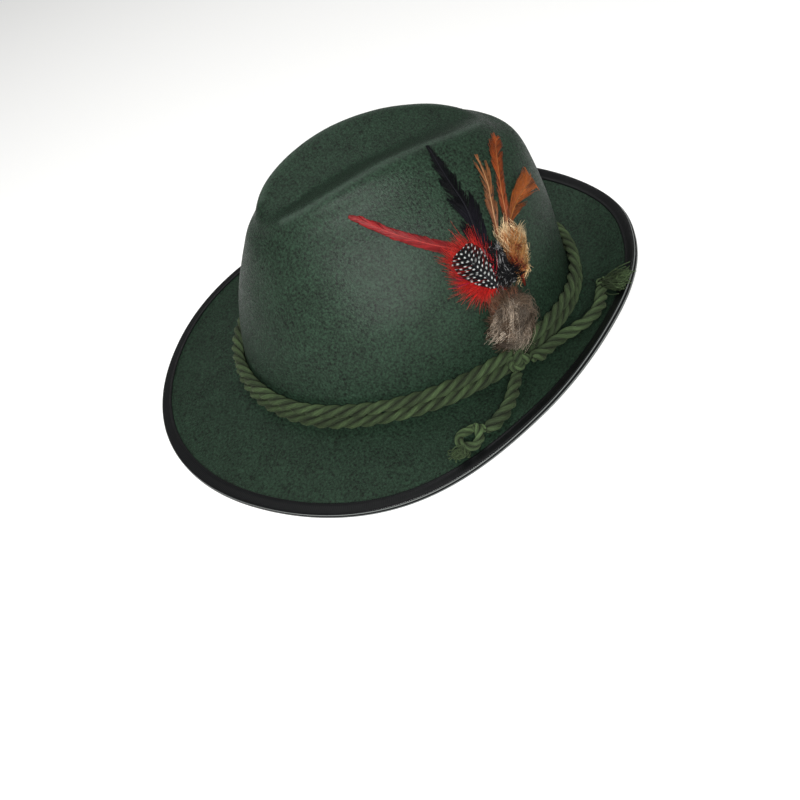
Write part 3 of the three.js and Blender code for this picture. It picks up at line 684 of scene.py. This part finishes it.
class HAT_OT_brim_binding(bpy.types.Operator):
    """Folded tape sewn over the edge of the brim"""
    bl_idname = "hat.brim_binding"
    bl_label = "Brim binding"

    def execute(self, context):
        colours, _ = settings()
        turns = np.linspace(0, 360, 360, endpoint=False)
        reach = np.linalg.norm(brim_point(turns, 1.0) - brim_point(turns, 0.0), axis=-1)
        edge, edge_up = on_brim(turns, 1.0 + 0 * turns)
        inside, inside_up = on_brim(turns, 1 - BINDING_WIDTH / reach)
        out = edge - inside
        out = unit(out - edge_up * (out * edge_up).sum(-1, keepdims=True))
        # Section of the tape, out past the felt's edge and over its upper face, in millimetres
        upper = [(-5.65, 0.25), (-5.8, 0.55), (-5.55, 0.85), (-5.0, 0.98), (-4.5, 0.74), (-3.9, 0.66), (-2.9, 0.72),
                 (-1.6, 0.74), (-0.4, 0.76), (0.2, 0.7), (0.58, 0.46), (0.78, 0.14), (0.84, -0.12),
                 (0.74, -0.42), (0.5, -0.76), (0.4, -0.92), (0.36, -FELT_THICKNESS / 2)]
        lower = [(a, -FELT_THICKNESS - o) for a, o in reversed(upper[:-1])]
        inner = [(-0.1, -FELT_THICKNESS - 0.22), (0.2, -FELT_THICKNESS + 0.2), (0.2, -0.2), (-0.1, 0.22)]
        section = upper + lower + inner
        rings = []
        for a, o in section:
            share = min(1 + a / BINDING_WIDTH, 1)
            foot = inside + (edge - inside) * share + out * max(a, 0)
            rings.append(foot + unit(inside_up + (edge_up - inside_up) * share) * o)
        rings = resting(np.stack(rings, 1))
        rings[..., 2] = np.maximum(rings[..., 2], 0)
        n, m, _ = rings.shape
        i, j = np.meshgrid(np.arange(n), np.arange(m), indexing="ij")
        i_next, j_next = (i + 1) % n, (j + 1) % m
        quads = np.stack([i * m + j, i * m + j_next, i_next * m + j_next, i_next * m + j], -1).reshape(-1, 4)
        mesh = bpy.data.meshes.new("brim_tape")
        mesh.from_pydata(rings.reshape(-1, 3).tolist(), [], quads.tolist())
        steps = np.linalg.norm(edge - np.roll(edge, 1, 0), axis=1)
        u = np.r_[0, np.cumsum(steps)]
        v = np.r_[0, np.cumsum(np.linalg.norm(np.diff(np.array(section + section[:1]), axis=0), axis=1))]
        mesh.uv_layers.new(name="UVMap").data.foreach_set("uv", quad_uvs(u[i], u[i + 1], v[j], v[j + 1]).ravel())
        mesh.polygons.foreach_set("use_smooth", [True] * len(mesh.polygons))
        mesh.materials.append(satin_binding_tape(colours))
        mesh.update()
        tape = bpy.data.objects.new("brim_tape", mesh)
        bpy.context.scene.collection.objects.link(tape)
        select_only(tape)
        bpy.ops.object.mode_set(mode="EDIT")
        bpy.ops.mesh.select_all(action="SELECT")
        bpy.ops.mesh.normals_make_consistent(inside=False)
        bpy.ops.object.mode_set(mode="OBJECT")
        dressed(tape, "tape", "brim_binding")
        return {"FINISHED"}


class HAT_OT_cord_bands(bpy.types.Operator):
    """Two laid cords round the foot of the crown"""
    bl_idname = "hat.cord_bands"
    bl_label = "Cord bands"

    def execute(self, context):
        colours, sizes = settings()
        rng = np.random.default_rng(11)
        yarn = twisted_cord_yarn(colours)
        radius = CORD_DIAMETER / 2
        rows = np.linspace(0, 2, 400)
        side = crown_point(90.0, rows)[:, 2]
        lower = 2 * SEAT_GAP + radius
        upper = lower + CORD_DIAMETER + SEAT_GAP
        for name, height, phase in (("cord_round_crown_lower", lower, 0.0), ("cord_round_crown_upper", upper, 0.9)):
            row = np.interp(height, side, rows)
            turns = np.linspace(0, 360, 620, endpoint=False)
            out = outward_at(turns)
            line = crown_point(turns, row) + out * (radius + SEAT_GAP)
            line[:, 2] += 0.25 * np.sin(np.radians(turns) * 7 + phase)
            shell = Shell()
            up = np.broadcast_to([0.0, 0.0, 1.0], out.shape)
            lay_rope(shell, resting(line), resting_way(out), resting_way(up), CORD_DIAMETER * MM, sizes.cord_pitch / MM,
                     colours.cord, rng, closed=True, phase=phase)
            shell.piece(name, yarn, "cord", "cord_band_" + name.rsplit("_", 1)[1])
        return {"FINISHED"}


def knot_line(centre, normal, size):
    """A closed knot of three bends about a centre, lying square to a normal."""
    t = np.linspace(0, 2 * np.pi, 150, endpoint=False)
    x, y, z = np.sin(t) + 2 * np.sin(2 * t), np.cos(t) - 2 * np.cos(2 * t), -np.sin(3 * t)
    normal = unit(np.asarray(normal))
    a = unit(np.cross(normal, [0.3, 0.1, 1.0]))
    b = np.cross(normal, a)
    return centre + size / 3 * (x[:, None] * a + y[:, None] * b) + size / 3 * 1.1 * z[:, None] * normal


def ring_line(centre, normal, start, radius):
    """The end of a cord turned into a ring over itself; all in metres on the resting hat."""
    a = start - centre
    far = np.linalg.norm(a - normal * (a @ normal))
    a = unit(a - normal * (a @ normal))
    b = np.cross(normal, a)
    turn = np.linspace(0, 2 * np.pi * 1.12, 100)
    reach = radius + (far - radius) * np.exp(-turn / 0.45)
    rise = (start - centre) @ normal * np.exp(-turn / 0.8) + 1.9 * MM * np.clip((turn - 4.6) / 1.7, 0, 1) ** 1.5
    reach = reach * (1 + 0.07 * np.sin(3 * turn))
    return centre + (reach * np.cos(turn))[:, None] * a + (reach * np.sin(turn))[:, None] * b + rise[:, None] * normal


def frayed_end(shell, centre, tips, count, rng, radius, tint, spread, k=6):
    """Frayed strands of cord, k points each, from a centre out to tips on the brim, in mm in the hat's own axes."""
    place = rng.random(count)
    table = np.array([on_brim(*tip)[0] for tip in tips])
    ends = between(table, place * (len(table) - 1)) + rng.normal(size=(count, 3)) * spread
    start = centre + rng.normal(size=(count, 3)) * 0.9
    t = np.linspace(0, 1, k)[None, :, None]
    reach = rng.uniform(0.72, 1.0, (count, 1, 1))
    lines = start[:, None] + (ends - start)[:, None] * t * reach
    lines += rng.normal(size=(count, 1, 3)) * 1.3 * np.sin(np.pi * t)
    shade = tint * rng.uniform(0.6, 1.35, (count, 1, 1)) * (0.8 + 0.4 * t)
    shell.tubes(resting(lines), radius * MM * (1 - 0.55 * t[..., 0]) * rng.uniform(0.7, 1.2, (count, 1)),
                rng.normal(size=(count, 1, 3)), shade, sides=4)


class HAT_OT_knots(bpy.types.Operator):
    """The knot on the bands, and the knots with frayed strands at the ends of the loose cords"""
    bl_idname = "hat.knots"
    bl_label = "Knots"

    def execute(self, context):
        colours, _ = settings()
        rng = np.random.default_rng(23)
        yarn = bpy.data.materials["twisted_cord_yarn"]
        tint = np.array(colours.cord)

        # The knots and their frayed strands take the cord's colour made 1.2 to 1.6 times lighter: painted light, as lit
        # copies of the same yarn
        shell = Shell()
        centre, normal = on_crown(98.5, 0.43, 10.5)
        line = resting(knot_line(centre, normal, 4.7))
        frames = steady_frames(line, resting_way(normal), True)
        lay_rope(shell, line, *frames, 5.2 * MM, 17, tint * 1.2, rng, closed=True)
        shell.piece("knot_on_band", yarn, "cord", "cord_knot")

        shell = Shell()
        centre, normal = on_brim(76.0, 0.72, 4.4)
        line = ring_line(resting(centre), resting_way(normal), np.array(TAIL_FRONT[-1]), 5.7 * MM)
        frames = steady_frames(line, resting_way(normal))
        lay_rope(shell, line, *frames, 4.9 * MM, 17, tint * 1.6, rng)
        tips = [(73.5, 0.93, 4.3), (71.5, 0.86, 4.3), (70.4, 0.76, 4.1)]
        frayed_end(shell, on_brim(73.9, 0.8, 4.2)[0], tips, 90, rng, 0.5, tint * 1.3, 1.0)
        shell.piece("end_knot_front", yarn, "cord", "tail_knot_front")

        shell = Shell()
        centre, normal = on_brim(136.0, 0.56, 3.0)
        line = resting(knot_line(centre, normal, 3.6))
        frames = steady_frames(line, resting_way(normal), True)
        lay_rope(shell, line, *frames, 4.2 * MM, 14, tint * 1.3, rng, closed=True)
        tips = [(125.6, 1.1, 4.0), (128.4, 1.16, 4.0), (132, 1.16, 4.0)]
        frayed_end(shell, centre, tips, 230, rng, 0.46, tint * 1.4, 1.5, 8)
        shell.piece("end_knot_rear", yarn, "cord", "tail_knot_rear")
        return {"FINISHED"}


class HAT_OT_loose_cords(bpy.types.Operator):
    """The two loose ends of the cords, lying on the brim"""
    bl_idname = "hat.loose_cords"
    bl_label = "Loose cords"

    def execute(self, context):
        colours, sizes = settings()
        rng = np.random.default_rng(5)
        yarn = bpy.data.materials["twisted_cord_yarn"]
        for name, points in (("front", TAIL_FRONT), ("rear", TAIL_REAR)):
            line = smooth_line(points, 90)
            shell = Shell()
            out, up = steady_frames(line, np.array([0.0, 0.0, 1.0]))
            lay_rope(shell, line, out, up, TAIL_DIAMETER * MM, 0.9 * sizes.cord_pitch / MM, colours.cord, rng,
                     phase=0.6)
            cord = shell.piece("loose_cord_" + name, yarn, "cord", "cord_tail_" + name)
        return {"FINISHED"}


class HAT_OT_fur_tuft(bpy.types.Operator):
    """A brush of fur under the feathers, with underfur and pale guard hairs"""
    bl_idname = "hat.fur_tuft"
    bl_label = "Fur tuft"

    def execute(self, context):
        colours, sizes = settings()
        rng = np.random.default_rng(41)
        shell = Shell()
        under, tip, rust = np.array(colours.fur), np.array(colours.fur_tip), np.array(linear("#74392b"))
        # Outline of the hair's tips as turn, row and lift, from the left round below to the right, and above
        below = [(96.0, 1.6, 5.5), (94.2, 1.24, 8.6), (94.6, 0.92, 10.4), (97.2, 0.7, 11.4), (101, 0.58, 11.6),
                 (104.8, 0.6, 10.6), (107.6, 0.8, 9.0), (109.4, 1.1, 7.4), (109.8, 1.45, 6.0)]
        above = [(96.6, 1.6, 5.0), (97.6, 1.88, 4.6), (99.8, 2.06, 4.8), (103.4, 2.06, 4.8), (106.6, 1.88, 4.4),
                 (109.4, 1.6, 4.2)]

        def pale_tipped_with_highlight(place, t):
            # Pale tips all round, far paler at the lower left: real pale tips with a painted highlight there
            mix = np.clip(t**1.6 * (0.2 + 0.8 * np.exp(-(((place - 0.32) / 0.15) ** 2))), 0, 1)
            return under * (1 - mix) + tip * mix

        def dark(place, t):
            return under * 0.7 + (under * 1.2 - under * 0.7) * t

        def reddish(place, t):
            return rust + (under * 1.6 - rust) * t**0.7

        # Underfur, the rusty hair over it, and two layers of pale-tipped hair, each with its share of all the hairs
        def brush(share_of_hairs, edge, root, spread, count, radius, tone, **form):
            hairs = int(sizes.fur_hairs * share_of_hairs / count)
            locks(shell, rng, edge, root, spread, count, hairs, radius, tone, **form)

        brush(0.33, below, (102, 1.4, 4.4), (2.8, 0.12, 1.4), 42, 0.2, dark, drop=6.0, share=(0.45, 0.98), bulge=2.4,
              wave=1.2, curl=0.8, splay=(1.6, 0.09, 1.2), vary=0.55)
        brush(0.2, above, (102.6, 1.34, 4.2), (2.4, 0.12, 1.0), 24, 0.2, reddish, drop=2.0, share=(0.5, 1.04),
              bulge=1.8, wave=1.4, curl=1.0, splay=(1.4, 0.09, 1.0))
        brush(0.3, below, (102, 1.56, 6.0), (2.2, 0.14, 1.0), 40, 0.18, pale_tipped_with_highlight, drop=3.5, share=(0.5, 1.02), bulge=2.8,
              wave=1.6, curl=1.2, splay=(1.2, 0.08, 1.2), vary=0.6)
        brush(0.17, below, (100.4, 1.3, 7.6), (2.6, 0.16, 1.2), 30, 0.16, pale_tipped_with_highlight, drop=1.5, share=(0.5, 1.1), bulge=1.6,
              wave=1.8, curl=1.4, splay=(1.2, 0.08, 1.2), vary=0.7)
        shell.piece("fur_brush", tinted_fibre("combed_fur", 0.55, 0.2), "fur", "fur_tuft")
        return {"FINISHED"}


# Feathers: turn, row and lift of the middle of the blade and its width in mm, from root to tip. Slant is how far a barb
# runs on past its foot, gaps how far the barbs part, fray how far the last barbs pass the quill's end, and round how
# much of the blade is its rounded tip. A fan ends in barbs that all run on to its end.
FEATHERS = {
    "feather_red": {
        "slot": "feather_red", "barb": "#780f12", "root": "#560b0d", "quill": "#8e2c28",
        "slant": 9.0, "gaps": 0.3, "fray": 0.3, "round": 0.12,
        "rows": [(98.5, 2.86, 0.95, 4.4), (94, 3.18, 0.95, 6.6), (84, 3.62, 1.4, 5.8), (74, 4.1, 2.0, 4.6),
                 (63, 4.78, 2.6, 2.4)],
    },
    "feather_black": {
        "slot": "feather_black", "barb": "#090a0c", "root": "#110d18", "quill": "#16161a", "matt": True,
        "slant": 13.0, "gaps": 0.8, "fray": 0.8, "round": 0.1,
        "rows": [(104.2, 2.4, 0.95, 5), (103, 2.9, 2.6, 13), (103, 3.4, 2.6, 16), (104, 3.9, 2.6, 13),
                 (104.3, 4.5, 2.6, 8.5), (105, 5.2, 3, 4.6), (105, 5.74, 3.6, 1.2)],
    },
    "feather_orange_broad": {
        "slot": "feather_orange", "barb": "#6c3611", "root": "#4a220b", "quill": "#7a4a20", "fan": True,
        "slant": 19.0, "gaps": 1.0, "fray": 2.6, "round": 0.04,
        "rows": [(113, 2.56, 0.95, 3), (115.4, 2.94, 0.95, 8), (120.4, 3.2, 0.95, 14), (127.4, 3.34, 1.3, 19),
                 (135, 3.36, 2, 19)],
    },
    "feather_orange_tall": {
        "slot": "feather_orange", "barb": "#723311", "root": "#542510", "quill": "#7e4822",
        "slant": 10.0, "gaps": 0.7, "fray": 1.2, "round": 0.1,
        "rows": [(113, 2.64, 2.6, 2), (114.8, 3.1, 2.6, 4.6), (120, 3.9, 2.8, 6.6), (128.5, 4.55, 3.2, 9),
                 (137, 4.98, 3.8, 4)],
    },
    "feather_golden": {
        "slot": "feather_golden", "barb": "#6a4225", "root": "#5c3322", "quill": "#8f6a48",
        "slant": 11.0, "gaps": 1.2, "fray": 2.0, "round": 0.1,
        "rows": [(109.4, 2.66, 0.95, 3), (110.3, 3.18, 2.6, 7), (113, 3.7, 2.8, 7), (116, 4.14, 3, 5.6),
                 (120, 4.78, 3.4, 2)],
    },
    "feather_guinea": {
        "slot": "feather_spotted", "barb": "#0b0c0d", "root": "#131416", "quill": "#1a1b1d", "spot": "#ced1ce",
        "matt": True, "slant": 6.0, "gaps": 0.12, "fray": 0.3, "round": 0.55,
        "rows": [(99.6, 2.08, 8.2, 4), (98.2, 2.3, 8.3, 13), (96.8, 2.54, 8.3, 18.5), (95.4, 2.8, 8.3, 19),
                 (94.2, 3.1, 8.2, 17)],
    },
}


def spot_share(aside, onward):
    """How white a spotted feather is, by millimetres from the quill and from the root: rows of ovals, set by turns."""
    row = onward / SPOT_SPACING + 0.2 * np.sin(1.4 * aside)
    shifted = aside / SPOT_SPACING + 0.5 * (np.floor(row) % 2) + 0.25 * np.sin(2.3 * np.floor(row))
    x, y = ((v - np.floor(v) - 0.5) * SPOT_SPACING for v in (shifted, row))
    return np.clip(1.7 - np.sqrt((x / SPOT_HALF[0]) ** 2 + (y / SPOT_HALF[1]) ** 2) * 1.2, 0, 1)


class HAT_OT_feathers(bpy.types.Operator):
    """Feathers with a quill and barbs on both sides"""
    bl_idname = "hat.feathers"
    bl_label = "Feathers"

    def execute(self, context):
        _, sizes = settings()
        rng = np.random.default_rng(67)
        glossy, matt = tinted_fibre("feather_vane", 0.42, 0.2), tinted_fibre("feather_vane_black", 0.5, 0.06)
        for name, look in FEATHERS.items():
            rows = np.array(look["rows"], float)
            place = np.linspace(0, len(rows) - 1, 140)
            turn, row, lift, width = between(rows, place).T
            points, normals = on_crown(turn, row, lift)
            points, normals = resting(points), resting_way(normals)
            run = unit(np.gradient(points, axis=0))
            across = unit(np.cross(run, normals))
            length = np.r_[0, np.cumsum(np.linalg.norm(np.diff(points, axis=0), axis=1))] / MM
            total = length[-1]

            def at(values, s):
                return np.stack([np.interp(s, length, values[:, i]) for i in range(3)], -1)

            near = np.clip(1 - (total - length) / (look["round"] * total), 0, 1)
            half = width / 2 * np.sqrt(1 - near**2 * (1 - 0.2 * min(look["fray"], 2)))
            half = np.maximum(half, 0.25)
            shell = Shell()
            count = int(total / (sizes.barb_spacing / MM))
            k = 12 if "spot" in look else 7
            t = np.linspace(0, 1, k)[None, :]
            barb, root = np.array(linear(look["barb"])), np.array(linear(look["root"]))
            for side in (-1, 1):
                start = np.linspace(0.02 * total, total, count) + rng.normal(size=count) * 0.1
                clump = np.cumsum(rng.random(count) < 0.13)
                lean = rng.normal(size=clump.max() + 1)[clump]
                short = rng.random(clump.max() + 1)[clump] ** 2
                reach = look["slant"] * (1 + 0.3 * lean * look["gaps"]) * rng.uniform(0.92, 1.08, count)
                wide = np.interp(start, length, half)
                wide = wide * (1 - 0.45 * look["gaps"] * short) * (1 + 0.12 * lean * look["gaps"])
                reach = reach * np.clip(wide / half.max(), 0.25, 1)
                if look.get("fan"):
                    wide = wide * (1 - 0.85 * np.clip((start / total - 0.6) / 0.4, 0, 1) ** 1.5)
                s = start[:, None] + reach[:, None] * t**1.25
                past = np.clip(s - total, 0, look["fray"] * 1.6 * (0.4 + 0.6 * short[:, None]))
                aside = side * wide[:, None] * t * (1 - 0.3 * look["gaps"] * rng.random((count, 1)) ** 3)
                camber = -0.05 * (aside / half.max()) ** 2 * half.max() + 0.1 * rng.normal(size=(count, 1)) * t
                camber = camber + 0.5 * look["gaps"] * np.abs(lean)[:, None] * t**2
                paths = at(points, s) + at(across, s) * (aside * MM)[..., None]
                paths = paths + at(normals, s) * (camber * MM)[..., None]
                paths = paths + run[-1] * (past * MM)[..., None]
                shade = root + (barb - root) * np.clip(s / total * 1.6, 0, 1)[..., None]
                shade = shade * rng.uniform(0.7, 1.3, (count, 1, 1)) * (1 + 0.25 * lean * look["gaps"])[:, None, None]
                if "spot" in look:
                    white = spot_share(aside, s)[..., None]
                    shade = shade * (1 - white) + np.array(linear(look["spot"])) * white
                shell.tubes(paths, (0.27 - 0.13 * t) * MM, at(run, s), shade, sides=4, flat=0.45)
            quill = points + normals * 0.22 * MM
            thick = np.interp(length, [0, total], [0.5, 0.16]) * MM
            shell.tubes(quill[None, ::3], thick[None, ::3], across[None, ::3], linear(look["quill"]), sides=6)
            finish = matt if look.get("matt") else glossy
            shell.piece("vane_" + name.replace("feather_", ""), finish, look["slot"], name)
        return {"FINISHED"}


class HAT_OT_hackles(bpy.types.Operator):
    """Loose barbs and down: the red hackle, and the black and golden fluff"""
    bl_idname = "hat.hackles"
    bl_label = "Hackles and down"

    def execute(self, context):
        rng = np.random.default_rng(83)
        down = tinted_fibre("hackle_and_down", 0.6, 0.1)

        dark, bright, pale, magenta = (np.array(linear(c)) for c in ("#3d0b0b", "#a51714", "#a23a32", "#7a0f45"))

        def scarlet(place, t):
            tint = dark + (bright - dark) * np.clip(t * 2, 0, 1) + (pale - bright) * np.clip(t * 2 - 1.3, 0, 1)
            return np.where((place < 0.06) & (t > 0.3), magenta, tint)

        upper = [(102.6, 3.0, 4.6), (101.2, 3.3, 5.2), (97.2, 3.5, 5.2), (92.8, 3.5, 4.8), (88.4, 3.34, 4.4),
                 (86.2, 3.1, 4.0), (86.2, 2.82, 3.8)]
        lower = [(86.2, 2.82, 3.8), (87.4, 2.44, 3.8), (90.6, 2.1, 3.8), (94.8, 1.84, 3.8), (98.0, 1.78, 4.2),
                 (100.4, 1.86, 4.4)]
        shell = Shell()
        locks(shell, rng, upper, (99.6, 2.3, 3.6), (0.7, 0.06, 0.5), 34, 36, 0.17, scarlet, drop=2.0,
              share=(0.5, 0.96), k=7, bulge=1.2, splay=(2.6, 0.15, 0.9))
        locks(shell, rng, lower, (99.6, 2.3, 3.2), (0.7, 0.06, 0.5), 30, 32, 0.17, scarlet, drop=1.8,
              share=(0.45, 0.9), k=7, splay=(2.2, 0.13, 0.8))
        locks(shell, rng, upper, (98.0, 2.6, 4.6), (0.8, 0.08, 0.5), 16, 16, 0.24, scarlet, drop=1.0,
              share=(0.4, 0.9), k=7)
        shell.piece("red_hackle", down, "hackle_red", "hackle_red")

        soot, coal, ash = (np.array(linear(c)) for c in ("#08080a", "#0c0c0e", "#8b8b8b"))

        def black(place, t):
            return soot * (0.8 + 0.6 * t)

        def speckled(place, t):
            return np.where((t > 0.64) & (t < 0.84), ash, coal)

        rng = np.random.default_rng(29)
        around = [(101.4, 2.8, 4.6), (103.4, 3.14, 5.0), (107.2, 3.02, 5.0), (109.2, 2.68, 5.2), (109.0, 2.3, 5.0),
                  (107.6, 1.94, 5.0), (104.4, 1.76, 5.0), (101.4, 1.86, 5.2), (100.6, 2.2, 5.4)]
        shell = Shell()
        locks(shell, rng, around, (104.8, 2.3, 3.9), (0.9, 0.12, 0.6), 26, 18, 0.22, black, drop=2.0,
              share=(0.5, 1.0), wave=1.0, curl=0.9, k=8)
        locks(shell, rng, around, (105.0, 2.34, 4.8), (1.0, 0.14, 0.6), 22, 12, 0.24, speckled, drop=1.0,
              share=(0.5, 1.0), wave=1.0, curl=0.6, k=8)
        stray = [(108.2, 2.2, 5.0), (110.6, 1.98, 4.6), (112, 1.86, 4.4)]
        locks(shell, rng, stray, (105.4, 2.2, 4.6), (0.5, 0.06, 0.4), 5, 6, 0.24, black, drop=0.5,
              share=(0.9, 1.0), wave=2.0, curl=1.4, k=9)
        shell.piece("black_fluff", down, "fluff_black", "fluff_black")

        rust, amber, straw, cream = (np.array(linear(c)) for c in ("#56170f", "#784620", "#a27a46", "#dfc9a0"))

        def golden(place, t):
            tone = amber + (straw - amber) * np.clip(1.5 * place - 0.1, 0, 1)
            tint = rust + (tone - rust) * np.clip(t * 3 - 0.2 - 0.8 * place, 0, 1)
            return tint + (cream - tone) * np.clip(t * 2.4 - 1.5, 0, 1)

        rng = np.random.default_rng(97)
        outer = [(108.4, 2.9, 4.8), (109.8, 3.36, 5.2), (115.4, 3.32, 5.4), (120.2, 3.08, 5.2), (121.4, 2.74, 4.8),
                 (118.8, 2.48, 4.6), (118.4, 2.16, 4.4), (115.4, 1.86, 4.2), (111.6, 1.72, 4.2), (109, 1.76, 4.2)]
        inner = [(109.2, 2.8, 5.2), (112.4, 3.14, 5.4), (116.4, 2.84, 5.2), (116.2, 2.44, 4.8), (114.6, 2.1, 4.4),
                 (111.6, 1.86, 4.4)]
        shell = Shell()
        locks(shell, rng, outer, (111.6, 2.3, 3.8), (0.9, 0.14, 0.5), 32, 24, 0.22, golden, drop=2.2,
              share=(0.6, 1.0), wave=1.1, curl=0.8, k=8, vary=0.4, splay=(1.1, 0.07, 0.6))
        locks(shell, rng, inner, (110.6, 2.36, 4.4), (0.9, 0.14, 0.5), 20, 22, 0.22, golden, drop=1.0,
              share=(0.6, 1.0), wave=1.0, curl=0.7, k=8, vary=0.6, splay=(0.8, 0.05, 0.6))
        shell.piece("golden_fluff", down, "fluff_gold", "fluff_gold")
        return {"FINISHED"}


class HAT_OT_stage(bpy.types.Operator):
    """Floor, lights and camera"""
    bl_idname = "hat.stage"
    bl_label = "Stage"

    def execute(self, context):
        colours, _ = settings()
        scene = bpy.context.scene
        bpy.ops.object.select_all(action="DESELECT")
        bpy.ops.mesh.primitive_plane_add(size=14)
        floor = bpy.context.object
        floor.name = "floor"
        floor.data.materials.append(seamless_paper(colours))

        # Bearing round the hat, height, distance, size and power of each soft light
        for name, bearing, rise, distance, size, power in (
            ("key", 70, 37, 1.25, 0.3, 19.5),
            ("top", 250, 66, 1.5, 0.9, 5.0),
            ("fill", 10, 50, 1.6, 0.9, 2.2),
        ):
            bearing, rise = math.radians(bearing), math.radians(rise)
            way = (math.sin(bearing) * math.cos(rise), -math.cos(bearing) * math.cos(rise), math.sin(rise))
            bpy.ops.object.light_add(type="AREA", location=[distance * w for w in way])
            light = bpy.context.object
            light.name = name
            light.data.size = size
            light.data.energy = power
            light.rotation_euler = (math.pi / 2 - rise, 0, bearing)
        world = bpy.data.worlds.new("soft_room")
        scene.world = world
        world.use_nodes = True
        room = world.node_tree.nodes["Background"]
        set_inputs(world.node_tree, room, {"Color": (1.0, 1.0, 1.0, 1.0), "Strength": 0.26})

        # The camera as fitted to the photograph's outlines, with the three ways that its frame faces
        bpy.ops.object.camera_add(location=(0.4343, -0.1445, 0.3549))
        camera = bpy.context.object
        right, up, back = (0.4716, 0.8440, -0.2555), (-0.3901, 0.4595, 0.7979), (0.7909, -0.2766, 0.5459)
        camera.matrix_world = Matrix.Translation(camera.location) @ Matrix((right, up, back)).transposed().to_4x4()
        camera.data.sensor_width = 36
        camera.data.lens = 42.479
        camera.data.shift_x = 0.01275
        camera.data.shift_y = -0.19825
        scene.camera = camera
        scene.view_settings.view_transform = "Standard"
        return {"FINISHED"}


class HAT_PT_pieces(bpy.types.Panel):
    """Lists the operators that dress the hat"""
    bl_idname = "HAT_PT_pieces"
    bl_label = "Tyrolean hat"
    bl_space_type = "VIEW_3D"
    bl_region_type = "UI"
    bl_category = "Hat"

    def draw(self, context):
        for operator in OPERATORS:
            self.layout.operator(operator.bl_idname)
        for group in (context.scene.hat_colours, context.scene.hat_sizes):
            for name in group.__annotations__:
                self.layout.prop(group, name)


OPERATORS = (
    HAT_OT_stage,
    HAT_OT_cord_bands,
    HAT_OT_knots,
    HAT_OT_loose_cords,
    HAT_OT_felt_body,
    HAT_OT_brim_binding,
    HAT_OT_fur_tuft,
    HAT_OT_feathers,
    HAT_OT_hackles,
)
CLASSES = (HatColours, HatSizes, *OPERATORS, HAT_PT_pieces)


def register():
    for kind in CLASSES:
        bpy.utils.register_class(kind)
    bpy.types.Scene.hat_colours = bpy.props.PointerProperty(type=HatColours)
    bpy.types.Scene.hat_sizes = bpy.props.PointerProperty(type=HatSizes)


def unregister():
    del bpy.types.Scene.hat_sizes
    del bpy.types.Scene.hat_colours
    for kind in reversed(CLASSES):
        bpy.utils.unregister_class(kind)


def main():
    register()
    for operator in OPERATORS:
        area, name = operator.bl_idname.split(".")
        getattr(getattr(bpy.ops, area), name)()


if __name__ == "__main__":
    main()
